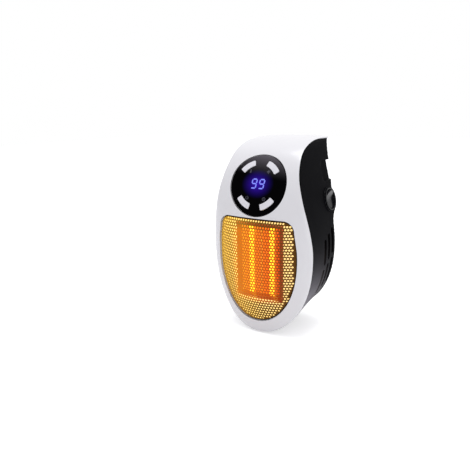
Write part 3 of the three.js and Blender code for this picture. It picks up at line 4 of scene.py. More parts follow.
import bmesh
import bpy
import numpy as np
from mathutils import Matrix, Vector
from mathutils.geometry import delaunay_2d_cdt
from mathutils.kdtree import KDTree


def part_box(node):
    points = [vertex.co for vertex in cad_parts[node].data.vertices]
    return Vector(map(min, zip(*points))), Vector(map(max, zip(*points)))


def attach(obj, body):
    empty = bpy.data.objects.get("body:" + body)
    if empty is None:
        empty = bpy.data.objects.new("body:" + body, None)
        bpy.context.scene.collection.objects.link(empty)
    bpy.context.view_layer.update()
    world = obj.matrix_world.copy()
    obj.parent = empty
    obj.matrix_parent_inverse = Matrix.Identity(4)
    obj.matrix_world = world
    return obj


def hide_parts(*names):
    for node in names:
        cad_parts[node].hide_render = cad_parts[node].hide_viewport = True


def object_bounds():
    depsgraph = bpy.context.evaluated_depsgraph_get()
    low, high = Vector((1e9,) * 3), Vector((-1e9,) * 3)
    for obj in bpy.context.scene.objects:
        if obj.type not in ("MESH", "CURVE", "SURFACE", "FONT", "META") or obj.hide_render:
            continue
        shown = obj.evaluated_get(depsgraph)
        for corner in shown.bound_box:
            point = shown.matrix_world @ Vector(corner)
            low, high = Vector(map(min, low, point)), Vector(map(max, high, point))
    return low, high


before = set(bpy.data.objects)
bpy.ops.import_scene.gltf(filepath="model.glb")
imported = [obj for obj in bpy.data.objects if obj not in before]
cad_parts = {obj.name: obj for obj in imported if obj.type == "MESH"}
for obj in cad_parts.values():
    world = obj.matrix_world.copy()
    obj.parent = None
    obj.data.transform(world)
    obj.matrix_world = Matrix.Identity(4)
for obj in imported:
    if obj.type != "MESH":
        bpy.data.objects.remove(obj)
cad_low, cad_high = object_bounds()

# Front shell: one injection-moulded cover in cool white, glossy plastic. Its crowned face runs over the top
# to the wall and down to a rounded chin, and it has a large opening for the grille and a round one for the panel.
# Shapes are worked out in millimetres, and each mesh is made in metres.
mm = 0.001
wall_y, back_y, top_z, widest_z, tip_z, heel_z = -2.0, -15.5, 28.0, -72.0, -147.5, -139.0
body_half, top_half, body_draft = 51.0, 34.2, 2.0
seam_depth, chin_reach, crown_full, crown_top, crown_run = 72.5, 7.5, 15.5, 2.2, 66.0
edge_power, outline_power = 2.1, 2.15
shell_wall, seam_gap = 2.1, 0.3
seam_shares = np.array(
    [(0, 0), (0.303, 0.004), (0.552, 0.034), (0.759, 0.104), (0.897, 0.22)]
    + [(0.979, 0.36), (1, 0.52), (0.954, 0.76), (0.921, 0.93), (0.917, 1)]
)


def smooth(share):
    share = np.clip(share, 0, 1)
    return share * share * (3 - 2 * share)


def curve_through(points, steps=80):
    ends = np.vstack([2 * points[0] - points[1], points, 2 * points[-1] - points[-2]])
    runs = []
    for p0, p1, p2, p3 in zip(ends, ends[1:], ends[2:], ends[3:]):
        d0, d1, d2 = (np.linalg.norm(b - a) ** 0.5 for a, b in ((p0, p1), (p1, p2), (p2, p3)))
        start = ((p1 - p0) / d0 - (p2 - p0) / (d0 + d1) + (p2 - p1) / d1) * d1
        end = ((p2 - p1) / d1 - (p3 - p1) / (d1 + d2) + (p3 - p2) / d2) * d1
        t = np.linspace(0, 1, steps, endpoint=False)[:, None]
        bend = 3 * (p2 - p1) - 2 * start - end
        runs.append(p1 + start * t + bend * t**2 + (2 * (p1 - p2) + start + end) * t**3)
    return np.vstack(runs + [points[-1:]])


def run_along(points):
    """The length of the way to each point, from 0 at the first."""
    return np.r_[0, np.cumsum(np.linalg.norm(np.diff(points, axis=0), axis=1))]


def unit(rows):
    return rows / np.maximum(np.linalg.norm(rows, axis=-1, keepdims=True), 1e-12)


seam = curve_through(
    np.c_[wall_y - seam_shares[:, 0] * seam_depth, top_z - seam_shares[:, 1] * (top_z - widest_z)]
)
seam_run = run_along(seam)
seam_run /= seam_run[-1]
seam_way = unit(np.gradient(seam, seam_run, axis=0))


def rib(g, inset=0.0):
    """Depth, height, rear height, half width, crown and lean of the rib at g: 0 top, 1 widest, 2 chin."""
    g = np.asarray(g, float)
    y, z, way_y, way_z = (np.interp(np.clip(g, 0, 1), seam_run, c) for c in (*seam.T, *seam_way.T))
    out_y, out_z = way_z, -way_y
    flare = smooth(np.clip((top_z - z) / (top_z - widest_z), 0, 1) ** 0.9)
    half = top_half + (body_half - top_half) * flare - inset
    crown = crown_top + (crown_full - crown_top) * smooth(-z / crown_run)
    lean = np.maximum(0, np.arctan2(out_z, -out_y))
    up_y = np.minimum(y - out_y * inset, wall_y - inset)
    up_z = z - out_z * inset
    angle = np.clip(g - 1, 0, 1) * math.pi / 2
    down = np.sin(angle) ** (2 / outline_power)
    wide = np.maximum(0, np.cos(angle)) ** (2 / outline_power)
    low = g > 1
    return (
        np.where(low, seam[-1, 0] - chin_reach * down**4 + inset, up_y),
        np.where(low, widest_z - (widest_z - tip_z - inset) * down, up_z),
        np.where(low, widest_z - (widest_z - heel_z - inset) * down, up_z),
        np.where(low, (body_half - inset) * wide, half),
        np.where(low, crown_full * wide, crown),
        np.where(low, 0, lean),
    )


def face_point(g, a, inset=0.0):
    """The place on the face at the rib g and the turn a across it, from one edge to the other."""
    y, z, _, half, crown, lean = rib(g, inset)
    across = np.sign(a) * np.abs(np.sin(a)) ** (2 / edge_power)
    rise = crown * np.maximum(0, np.cos(a)) ** (2 / edge_power)
    return np.stack([half * across, y - rise * np.cos(lean), z + rise * np.sin(lean)], -1)


def face_spot(g, a):
    """The place on the face and its outward normal."""
    inner_g, inner_a = np.clip(g, 2e-3, 1.998), np.clip(a, -math.pi / 2 + 2e-3, math.pi / 2 - 2e-3)
    along = face_point(inner_g + 1e-3, inner_a) - face_point(inner_g - 1e-3, inner_a)
    across = face_point(inner_g, inner_a + 1e-3) - face_point(inner_g, inner_a - 1e-3)
    return face_point(g, a), unit(np.cross(along, across))


run_g = np.linspace(0, 2, 1200)
apex = face_point(run_g, np.zeros_like(run_g))
run_length = run_along(apex)


def solve(targets, measure, start, low, high):
    """The pairs whose measure is the target, found from the start by Newton's method."""
    at = np.array(start, float)
    for _ in range(24):
        here = measure(at)
        step_a = measure(at + (1e-4, 0)) - here
        step_b = measure(at + (0, 1e-4)) - here
        jacobian = np.stack([step_a, step_b], -1) / 1e-4
        move = np.linalg.solve(jacobian, (targets - here)[..., None])[..., 0]
        reach = (np.array(high) - low) * 0.04
        at = np.clip(at + np.clip(move, -reach, reach), low, high)
    return at


def on_face(targets, view, start):
    return solve(targets, lambda at: view(face_point(*at.T)), start, (0.002, -1.5), (1.995, 1.5))


def unrolled(at):
    return np.c_[at[:, 1] * rib(at[:, 0])[3], np.interp(at[:, 0], run_g, run_length)]


def on_front(flat):
    g = np.interp(flat[:, 1], run_length, run_g)
    a = np.clip(flat[:, 0] / np.maximum(rib(g)[3], 1e-6), -math.pi / 2, math.pi / 2)
    points, normals = face_spot(g, a)
    return points, normals, points - normals * shell_wall


def is_inside(loop, points):
    inside = np.zeros(len(points), bool)
    for (ax, ay), (bx, by) in zip(loop, np.roll(loop, -1, axis=0)):
        cross = (ay > points[:, 1]) != (by > points[:, 1])
        edge = (bx - ax) * (points[:, 1] - ay) / (by - ay if by != ay else 1) + ax
        inside ^= cross & (points[:, 0] < edge)
    return inside


def clear_of(loops, points):
    """Which of the points lie in none of the loops."""
    clear = np.ones(len(points), bool)
    for loop in loops:
        clear &= ~is_inside(loop, points)
    return clear


def area_of(loop):
    x, y = loop.T
    return np.sum(x * np.roll(y, -1) - np.roll(x, -1) * y) / 2


def triangle_grid(low, high, pitch):
    rows = []
    for i, row in enumerate(np.arange(low[1] + pitch / 2, high[1], pitch * 0.87)):
        across = np.arange(low[0] + pitch * (0.25 + 0.5 * (i % 2)), high[0], pitch)
        rows.append(np.c_[across, np.full(len(across), row)])
    return np.vstack(rows)


def triangulated(grid, loops, lines=()):
    """Flat points and triangles through the grid, with the loops and lines as edges, and each point's new number."""
    coords, edges = list(grid), []
    for line, closed in [(loop, 1) for loop in loops] + [(line, 0) for line in lines]:
        first = len(coords)
        coords.extend(line)
        edges += [(first + i, first + (i + 1) % len(line)) for i in range(len(line) - 1 + closed)]
    made = delaunay_2d_cdt([Vector(c) for c in coords], edges, [], 1, 1e-7)
    number = {old: new for new, olds in enumerate(made[3]) for old in olds}
    return np.array([tuple(v) for v in made[0]]), np.array(made[2]), number


def two_sided(corners, points, normals):
    """The triangles turned to face along the normals, and the same ones on the points of the back."""
    a, b, c = (points[corners[:, k]] for k in range(3))
    flip = np.einsum("ij,ij->i", np.cross(b - a, c - a), normals[corners].sum(1)) < 0
    corners[flip] = corners[flip][:, ::-1]
    return [tuple(c) for c in corners] + [tuple(c[::-1] + len(points)) for c in corners]


def skin_parts(place, outline, holes, pitch, rounding, lipped=None, creases=(), round_steps=4):
    """Points, faces and normals of a sheet, with rounded edges round its holes and where it is lipped."""
    lipped = np.ones(len(outline), bool) if lipped is None else lipped
    if area_of(outline) < 0:
        outline, lipped = outline[::-1], np.roll(lipped[::-1], -1)
    loops = [outline] + [loop if area_of(loop) > 0 else loop[::-1] for loop in holes]
    grid = triangle_grid(outline.min(0), outline.max(0), pitch)
    grid = grid[is_inside(outline, grid) & clear_of(loops[1:], grid)]
    for line in [*loops, *creases]:
        near = np.min(np.linalg.norm(grid[:, None] - line[None], axis=2), axis=1)
        grid = grid[near > pitch * 0.6]
    flat, corners, number = triangulated(grid, loops, creases)
    corners = corners[clear_of(loops[1:], flat[corners].mean(1))]
    points, normals, inner = place(flat)
    faces = two_sided(corners, points, normals)
    all_points, all_normals = [points, inner], [normals, -normals]
    total, start = 2 * len(points), len(grid)
    for order, loop in enumerate(loops):
        ids = np.array([number[start + i] for i in range(len(loop))])
        start += len(loop)
        edge_kept = np.ones(len(ids), bool) if order else lipped
        spot, up = points[ids], normals[ids]
        after = (np.roll(spot, -1, axis=0) - spot) * edge_kept[:, None]
        before = (spot - np.roll(spot, 1, axis=0)) * np.roll(edge_kept, 1)[:, None]
        away = np.cross(after + before, up) * (-1 if order else 1)
        away[edge_kept != np.roll(edge_kept, 1), 0] = 0
        away = unit(away)
        sunk = np.linalg.norm(inner[ids] - spot, axis=1)[:, None]
        rings = [ids]
        for step in range(1, round_steps + 2):
            turn = min(step / round_steps, 1) * math.pi / 2
            drop = rounding * (1 - math.cos(turn)) if step <= round_steps else sunk
            all_points.append(spot + away * rounding * math.sin(turn) - up * drop)
            all_normals.append(up * math.cos(turn) + away * math.sin(turn))
            rings.append(np.arange(total, total + len(ids)))
            total += len(ids)
        rings.append(ids + len(points))
        for upper, lower in zip(rings, rings[1:]):
            for i in np.flatnonzero(edge_kept):
                j = (i + 1) % len(ids)
                quad = (upper[i], lower[i], lower[j], upper[j])
                faces.append(quad[::-1] if order else quad)
    return np.vstack(all_points), faces, np.vstack(all_normals)


def tidy_parts(points, faces, normals):
    """The parts with one vertex for each place on the middle plane, no two faces alike and no vertex unused."""
    key = {}
    new = np.arange(len(points))
    for i in np.flatnonzero(np.abs(points[:, 0]) < 1e-5):
        new[i] = key.setdefault(tuple(np.round(points[i], 4)), i)
    faces = [[int(new[i]) for i in face] for face in faces]
    alike = Counter(frozenset(face) for face in faces)
    faces = [face for face in faces if alike[frozenset(face)] == 1]
    used = sorted({i for face in faces for i in face})
    place = {old: i for i, old in enumerate(used)}
    return points[used], [[place[i] for i in face] for face in faces], normals[used]


def mesh_piece(name, points, faces, normals=None, smooth_faces=True):
    mesh = bpy.data.meshes.new(name)
    mesh.from_pydata([tuple(p) for p in np.asarray(points) * mm], [], [tuple(map(int, f)) for f in faces])
    mesh.polygons.foreach_set("use_smooth", [smooth_faces] * len(mesh.polygons))
    if normals is not None:
        mesh.normals_split_custom_set_from_vertices([tuple(n) for n in normals])
    piece = bpy.data.objects.new(name, mesh)
    bpy.context.collection.objects.link(piece)
    return piece


def skin_piece(name, *shape, **settings):
    return mesh_piece(name, *tidy_parts(*skin_parts(*shape, **settings)))


def spread(line, pitch, closed=True):
    """The line's points at even spacing."""
    line = np.vstack([line, line[:1]]) if closed else line
    run = run_along(line)
    steps = np.linspace(0, run[-1], max(3, round(run[-1] / pitch)) + 1)
    steps = steps[:-1] if closed else steps
    return np.stack([np.interp(steps, run, column) for column in line.T], -1)


grille_half, grille_top_half, grille_top, grille_bottom, grille_corner = 40.0, 37.6, -38.5, -134.5, 9.5


def grille_outline(margin):
    """The grille's outline in the front view, grown by the margin."""
    corner = grille_corner + margin
    corner_z = grille_top - grille_corner
    t = np.linspace(0, math.pi / 2, 30)
    top = np.c_[grille_top_half - grille_corner + corner * np.sin(t), corner_z + corner * np.cos(t)]
    s = np.linspace(0, 1, 30)[1:-1]
    side = np.c_[
        grille_top_half + margin + (grille_half - grille_top_half) * np.sin(s * math.pi / 2),
        corner_z + (widest_z - corner_z) * s,
    ]
    u = np.linspace(0, math.pi / 2, 90)
    low = np.c_[
        (grille_half + margin) * np.maximum(0, np.cos(u)) ** (2 / outline_power),
        widest_z - (widest_z - grille_bottom + margin) * np.sin(u) ** (2 / outline_power),
    ]
    right = np.vstack([top, side, low])
    return np.vstack([right, right[-2::-1] * (-1, 1)])


def grille_loop(margin, pitch):
    """The grille's outline as places on the face."""
    loop = spread(grille_outline(margin), pitch)
    guess = np.c_[np.interp(-loop[:, 1], -seam[:, 1], seam_run), loop[:, 0] / 50]
    low = loop[:, 1] < widest_z
    guess[low, 0] = 1 + (widest_z - loop[low, 1]) / 90
    return on_face(loop, lambda points: points[..., [0, 2]], guess)


panel_radius, panel_centre_z, tilt_span, panel_clearance = 27.5, -9.0, 22.0, 0.3
rising = np.r_[1, np.diff(np.minimum.accumulate(apex[:, 2]))] != 0
panel_centre, span_top, span_bottom = (
    np.array([np.interp(-z, -apex[rising, 2], apex[rising, k]) for k in range(3)])
    for z in (panel_centre_z, panel_centre_z + tilt_span, panel_centre_z - tilt_span)
)
panel_up = unit(span_top - span_bottom)
panel_out = np.cross(panel_up, (1, 0, 0))
panel_out *= -np.sign(panel_out[1])


def panel_view(points):
    away = points - panel_centre
    return np.stack([away[..., 0], away @ panel_up], -1)


def on_panel(flat):
    """The places on the face that lie over the flat places of the panel's own plane."""
    z = panel_centre[2] + flat[:, 1] * panel_up[2]
    guess = np.c_[np.interp(-z, -apex[rising, 2], run_g[rising]), flat[:, 0] / 45]
    return on_face(flat, panel_view, guess)


def round_loop(radius, pitch):
    angle = np.linspace(0, 2 * math.pi, round(2 * math.pi * radius / pitch) + 1)[:-1]
    return radius * np.c_[np.cos(angle), np.sin(angle)]


edge_round, seam_lip, edge_pitch = 0.5, 0.3, 1.1
lip_g = np.linspace(0, 2, 3000)
lip_share = np.clip((seam_lip + seam_gap / 2) / np.maximum(rib(lip_g)[4], 1e-6), 0, 1)
lip_a = np.arccos(lip_share ** (edge_power / 2))
right_edge = unrolled(np.c_[lip_g, lip_a][lip_share < 1])
front_shell = skin_piece(
    "front_cover",
    on_front,
    spread(np.vstack([right_edge, right_edge[::-1] * (-1, 1)]), edge_pitch),
    [
        unrolled(grille_loop(edge_round, 1.0)),
        unrolled(on_panel(round_loop(panel_radius + panel_clearance + edge_round, 1.0))),
    ],
    pitch=1.7,
    rounding=edge_round,
)
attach(front_shell, "housing")
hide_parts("front_shell")

# Rear shell: one deep tray moulded in satin black plastic. It has a grip sunk into each side, two rows of air slots
# in each side, a round field of air slots behind the fan and a stepped back that clears the wall below the plug.
cove_radius = wall_y - back_y
boss_foot_z, fan_z = -37.5, -79.85
cove_z = boss_foot_z - cove_radius
rear_round, top_rear_round, rear_round_run, back_edge = 8.0, 1.5, 22.0, 1.0
grip_front, grip_top, grip_bottom, grip_depth, grip_corner, grip_wall = -24.4, 7.8, -11.0, 3.0, 5.0, 0.9
slot_width, slot_length, slot_row, slot_flare = 4.4, 24.4, 28.6, 0.8
slot_columns = [(-39.8, -73.4), (-31.2, -69.4), (-22.6, -65.4)]
intake_slot, intake_radius, intake_pitch, intake_flare = 3.4, 27.0, 7.6, 0.7
switch_centre = np.array([43.2987, -18.0, -27.7])
switch_out, switch_up = np.array([0.974365, 0, 0.224973]), np.array([-0.224973, 0, 0.974365])
switch_opening, plug_opening, screw_opening, case_screw_x, case_screw_z = 10.6, 15.6, 3.4, 24.0, 17.0


def rear_limit(z):
    """How far back the shell reaches: to the wall behind the plug, and in a cove down to the lower back."""
    height = np.clip(z - cove_z, 0, cove_radius)
    return np.where(z >= boss_foot_z, wall_y, wall_y - np.sqrt(cove_radius**2 - height**2))


cove_turn = np.linspace(0, math.pi / 2, 60)
height_table = np.r_[
    np.linspace(top_z, boss_foot_z, 120),
    (cove_z + cove_radius * np.cos(cove_turn))[1:],
    np.linspace(cove_z, widest_z, 60)[1:],
]
upper_v = np.r_[0, np.cumsum(np.hypot(np.diff(height_table), np.diff(rear_limit(height_table))))]
lower_g = np.linspace(1, 2, 900)
low_rib = rib(lower_g)
lower_v = upper_v[-1] + np.cumsum(np.hypot(np.diff(low_rib[3]), np.diff(low_rib[1])))
table_v = np.r_[upper_v, lower_v]
table_g = np.r_[np.interp(-height_table, -seam[:, 1], seam_run), lower_g[1:]]
table_rear_z = np.r_[height_table, low_rib[2][1:]]


def tray_ring(g):
    """Half of the tray's outline at the rib g, from the middle of the back to the seam, one row for each g."""
    y, z, heel, half, _, _ = (column[:, None] for column in rib(g))
    length = wall_y - y
    rounding = top_rear_round + (rear_round - top_rear_round) * smooth(-z / rear_round_run)
    rounding = np.minimum(np.minimum(rounding, length / 2), half / 2)
    limit = np.maximum(rear_limit(heel), y)
    corner = np.minimum(back_edge, np.maximum(wall_y - limit, 0)) * (limit < wall_y)
    corner = np.minimum(corner, np.minimum(half, limit - y) / 2)
    straight = length - rounding
    share = np.linspace(0, 1, 30)
    turn = np.linspace(0, math.pi / 2, 16)[1:]
    back = np.hstack([straight * share, straight + rounding * np.sin(turn)])
    inward = np.hstack([0 * straight * share, rounding * (1 - np.cos(turn))])
    x = half * (1 - body_draft / body_half * back / np.maximum(length, 1e-9)) - inward
    depth = y + back
    end = limit - corner
    at_end = np.stack([np.interp(e, d, c) for e, d, c in zip(end[:, 0], depth, x)])[:, None]
    x = np.where(depth > end, at_end, x)
    depth = np.minimum(depth, end)
    drop = np.clip((depth - y) / np.maximum(back_y - y, 1e-9), 0, 1)
    side = np.stack([x, depth, z + (heel - z) * (1 - (1 - drop) ** 2)], -1)[:, ::-1]
    bend = np.linspace(math.pi / 2, 0, 7)[:-1]
    arc = np.stack([at_end - corner * (1 - np.cos(bend)), end + corner * np.sin(bend), heel + 0 * bend], -1)
    middle = np.stack([0 * limit, limit, heel], -1)
    return np.concatenate([middle, arc, side], 1)


def tray_point(p, v):
    """The tray's surface at p, the way round from the middle of its back, and v, the way down, without the grip.
    With it come the half width of its back and the whole way round."""
    ring = tray_ring(np.interp(v, table_v, table_g))
    steps = np.linalg.norm(np.diff(ring, axis=1), axis=2)
    run = np.hstack([np.zeros((len(ring), 1)), np.cumsum(steps, axis=1)])
    k = np.clip((run[:, 1:] < p[:, None]).sum(1), 0, ring.shape[1] - 2)
    row = np.arange(len(ring))
    share = np.clip((p - run[row, k]) / np.maximum(run[row, k + 1] - run[row, k], 1e-9), 0, 1)[:, None]
    return ring[row, k] * (1 - share) + ring[row, k + 1] * share, ring[row, 1, 0], run[:, -1]


def in_grip(points, corner_x, margin=0.0, soft=grip_wall):
    """1 in the grip, 0 outside it, with a rounded front and a wall as wide as soft."""
    y = np.where(points[:, 0] < corner_x - 1e-6, rear_limit(points[:, 2]), points[:, 1])
    centre_z, half_z = (grip_top + grip_bottom) / 2, (grip_top - grip_bottom) / 2
    dy = np.maximum(grip_front + grip_corner - y, 0)
    dz = np.maximum(np.abs(points[:, 2] - centre_z) - (half_z - grip_corner), 0)
    return smooth((grip_corner + margin - np.hypot(dy, dz)) / soft)


def sunk_in(points, corner_x, depth, mask):
    """The points with the grip pressed in by the depth, where the mask is 1."""
    floor = rib(np.interp(-points[:, 2], -seam[:, 1], seam_run))[3] - depth - body_draft
    on_back = points[:, 0] < corner_x - 1e-6
    over = np.maximum(np.where(on_back, corner_x, points[:, 0]) - floor, 0)
    share = np.where(on_back, points[:, 0] / np.maximum(corner_x, 1e-6), 1)
    return points - np.c_[mask * over * share, 0 * mask, 0 * mask]


def tray_outer(p, v):
    points, corner_x, _ = tray_point(p, v)
    return sunk_in(points, corner_x, grip_depth, in_grip(points, corner_x))


def on_tray(flat):
    p, v = flat.T
    base, corner_x, full = tray_point(p, v)
    outer = tray_outer(p, v)
    middle = (np.abs(outer[:, 0]) < 1e-4) | (p < 1e-6)
    pc, vc = np.clip(p, 1e-3, full - 2e-2), np.clip(v, 0.02, table_v[-1] - 0.12)
    d = 8e-3
    along = tray_outer(pc + d, vc) - tray_outer(pc - d, vc)
    normals = unit(np.cross(along, tray_outer(pc, vc + d) - tray_outer(pc, vc - d)))
    along = tray_point(pc + d, vc)[0] - tray_point(pc - d, vc)[0]
    plain = unit(np.cross(along, tray_point(pc, vc + d)[0] - tray_point(pc, vc - d)[0]))
    for rows in (outer, normals, plain):
        rows[middle, 0] = 0
    within = base - unit(plain) * shell_wall
    mask = in_grip(base, corner_x, margin=2.0, soft=3.0)
    within = sunk_in(within, corner_x - 2, grip_depth + shell_wall, mask)
    within[middle, 0] = 0
    return outer, unit(normals), within


def tray_side(targets, view):
    """The places on the tray's right side whose view is the target."""
    start = np.c_[34 - targets[:, 0], np.interp(-targets[:, 1], -height_table, upper_v)]
    low = targets[:, 1] < widest_z
    start[low, 1] = upper_v[-1] + (widest_z - targets[low, 1])
    return solve(targets, lambda at: view(tray_point(*at.T)[0]), start, (5, 1), (135, table_v[-1] - 1))


def side_view(points):
    return points[..., [1, 2]]


def switch_view(points):
    return np.stack([points[..., 1], (points - switch_centre) @ switch_up + switch_centre[2]], -1)


def slot_loop(width, length, pitch=0.9):
    turn = np.linspace(0, math.pi, 24)
    half = width / 2
    top = np.c_[half * np.cos(turn), (length / 2 - half) + half * np.sin(turn)]
    return spread(np.vstack([top, -top]), pitch)


def back_loop(loop):
    """A loop of the back view, x and z, as places on the flat back."""
    return np.c_[loop[:, 0], np.interp(-loop[:, 1], -table_rear_z, table_v)]


side_holes = [
    tray_side(slot_loop(slot_width + slot_flare, slot_length + slot_flare) + (y, z - row * slot_row), side_view)
    for y, z in slot_columns
    for row in (0, 1)
]
switch_hole = tray_side(round_loop(switch_opening, 1.0) + switch_centre[1:], switch_view)
back_holes = [back_loop(round_loop(screw_opening, 0.8) + (case_screw_x, case_screw_z))]
for x in intake_pitch * np.arange(1, 4):
    intake_length = 2 * math.sqrt(intake_radius**2 - x**2)
    back_holes.append(back_loop(slot_loop(intake_slot + intake_flare, intake_length + intake_flare) + (x, fan_z)))

grip_line_back, grip_line_end = -11.5, 18.0
grip_lines = []
for inset in np.array([0, 0.22, 0.45, 0.68, 0.9]):
    turn = np.linspace(math.pi / 2, math.pi, 14)
    top_turn = (grip_corner - inset) * np.c_[np.cos(turn), np.sin(turn)]
    top_turn += (grip_front + grip_corner, grip_top - grip_corner)
    low_turn = top_turn[::-1] * (1, -1) + (0, grip_top + grip_bottom)
    line = [[(grip_line_back, top_turn[0, 1])], top_turn, low_turn, [(grip_line_back, low_turn[-1, 1])]]
    placed = tray_side(spread(np.vstack(line), 0.9, closed=False), side_view)
    tails = []
    for end in (placed[0], placed[-1]):
        length = np.arange(end[0] - 0.9, grip_line_end, -0.9)[:, None]
        tails.append(np.c_[length, np.full(len(length), end[1])])
    grip_lines.append(np.vstack([tails[0][::-1], placed, tails[1]]))

edge_v = np.linspace(0, table_v[-1], 1500)
edge_p = tray_point(np.zeros_like(edge_v), edge_v)[2]
cut_back, top_cut_back = seam_gap / 2 + seam_lip, 1.0
seam_line = np.c_[np.maximum(edge_p - cut_back, 0.4), np.maximum(edge_v, top_cut_back)]
top_line = np.c_[np.linspace(0, seam_line[0, 0], 40), np.full(40, seam_line[0, 1])]
tip_line = np.c_[np.linspace(seam_line[-1, 0], 0, 60), np.full(60, table_v[-1])]
half_turn = np.linspace(-math.pi / 2, math.pi / 2, 50)
plug_arc = back_loop(plug_opening * np.c_[np.cos(half_turn), np.sin(half_turn)])
slot_half = slot_loop(intake_slot + intake_flare, 2 * intake_radius + intake_flare)
slot_half = slot_half[np.argsort(slot_half[:, 1])]
slot_half = slot_half[slot_half[:, 0] > 0.05]
slot_end = intake_radius + intake_flare / 2
slot_arc = back_loop(np.vstack([(0, -slot_end), slot_half, (0, slot_end)]) + (0, fan_z))
plug_arc[[0, -1], 0] = 0
slot_arc[[0, -1], 0] = 0


def middle_line(start, end):
    count = max(2, int(abs(end - start) / 1.4))
    return np.c_[np.zeros(count), np.linspace(start, end, count)][1:-1]


tray_runs = [
    (spread(top_line, edge_pitch, closed=False)[:-1], True),
    (spread(seam_line, edge_pitch, closed=False), True),
    (spread(tip_line, edge_pitch, closed=False)[1:], False),
    (middle_line(table_v[-1], slot_arc[0, 1]), False),
    (slot_arc, True),
    (middle_line(slot_arc[-1, 1], plug_arc[0, 1]), False),
    (plug_arc, True),
    (middle_line(plug_arc[-1, 1], top_line[0, 1]), False),
]
tray_outline = np.vstack([run for run, _ in tray_runs])
tray_lipped = []
for (run, lip), (_, next_lip) in zip(tray_runs, tray_runs[1:] + tray_runs[:1]):
    tray_lipped += [lip] * (len(run) - 1) + [lip and next_lip]
right_parts, left_parts = (
    skin_parts(
        on_tray,
        tray_outline,
        side_holes + back_holes + extra,
        pitch=1.8,
        rounding=0.3,
        lipped=np.array(tray_lipped),
        creases=grip_lines,
        round_steps=3,
    )
    for extra in ([switch_hole], [])
)
# At the shoulders the lip leans inwards, and its inner corner has to stay under the white shell.
shoulder_back, shoulder_top = -24.0, 27.4
for points, _, _ in (right_parts, left_parts):
    high = (points[:, 1] < shoulder_back) & (points[:, 2] > shoulder_top)
    points[high, 2] = shoulder_top
shift = len(right_parts[0])
rear_shell = mesh_piece(
    "rear_cover",
    *tidy_parts(
        np.vstack([right_parts[0], left_parts[0] * (-1, 1, 1)]),
        right_parts[1] + [tuple(i + shift for i in face[::-1]) for face in left_parts[1]],
        np.vstack([right_parts[2], left_parts[2] * (-1, 1, 1)]),
    ),
)
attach(rear_shell, "housing")
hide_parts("rear_shell")

# Plastics: every moulded piece gets the same surface marks, each with its own values. There is a slow change of
# shade from the flow of the plastic, handling marks in the gloss, and a fine grain from the mould.
marks = bpy.data.node_groups.new("moulding_marks", "ShaderNodeTree")
for way, socket, value in (
    ("INPUT", "Colour", (0.5, 0.5, 0.5, 1)),
    ("INPUT", "Flow shade", (0.5, 0.5, 0.5, 1)),
    ("INPUT", "Gloss", 0.3),
    ("INPUT", "Handling", 0.1),
    ("INPUT", "Grain size", 0.5),
    ("OUTPUT", "Colour", (0, 0, 0, 1)),
    ("OUTPUT", "Roughness", 0.0),
    ("OUTPUT", "Height", 0.0),
):
    kind = "NodeSocketFloat" if isinstance(value, float) else "NodeSocketColor"
    marks.interface.new_socket(socket, in_out=way, socket_type=kind).default_value = value


def add_node(tree, kind, inputs=None, **settings):
    node = tree.nodes.new(kind)
    for name, value in settings.items():
        setattr(node, name, value)
    for socket, value in (inputs or {}).items():
        if isinstance(value, bpy.types.NodeSocket):
            tree.links.new(value, node.inputs[socket])
        else:
            node.inputs[socket].default_value = value
    return node


def maths(tree, operation, *values):
    return add_node(tree, "ShaderNodeMath", dict(enumerate(values)), operation=operation).outputs[0]


def mixed(tree, share, first, second):
    """The first colour, turning into the second as the share grows."""
    return add_node(tree, "ShaderNodeMix", {0: share, 6: first, 7: second}, data_type="RGBA").outputs[2]


def share_between(tree, value, low, high, first=0.0):
    """How far the value is from low to high, as a number from first to 1."""
    return add_node(tree, "ShaderNodeMapRange", {"Value": value, 1: low, 2: high, 3: first}).outputs[0]


def noise(tree, spot, scale, detail=2.0, roughness=0.5):
    settings = {"Vector": spot, "Scale": scale, "Detail": detail, "Roughness": roughness}
    return add_node(tree, "ShaderNodeTexNoise", settings).outputs["Fac"]


def object_place(tree):
    """The place on the object in metres, whole and as x, y and z."""
    spot = add_node(tree, "ShaderNodeTexCoord").outputs["Object"]
    return spot, add_node(tree, "ShaderNodeSeparateXYZ", {0: spot}).outputs


given = marks.nodes.new("NodeGroupInput").outputs
spot = add_node(marks, "ShaderNodeTexCoord").outputs["Object"]
touch = maths(marks, "SUBTRACT", noise(marks, spot, 120.0, 4.0, 0.6), 0.5)
made_marks = {
    "Colour": mixed(marks, noise(marks, spot, 28.0), given["Colour"], given["Flow shade"]),
    "Roughness": maths(marks, "ADD", given["Gloss"], maths(marks, "MULTIPLY", touch, given["Handling"])),
    "Height": noise(marks, spot, maths(marks, "DIVIDE", 1000.0, given["Grain size"])),
}
add_node(marks, "NodeGroupOutput", made_marks)


def new_material(name):
    """A new material with its node tree and its shader."""
    material = bpy.data.materials.new(name)
    material.use_nodes = True
    return material, material.node_tree, material.node_tree.nodes["Principled BSDF"]


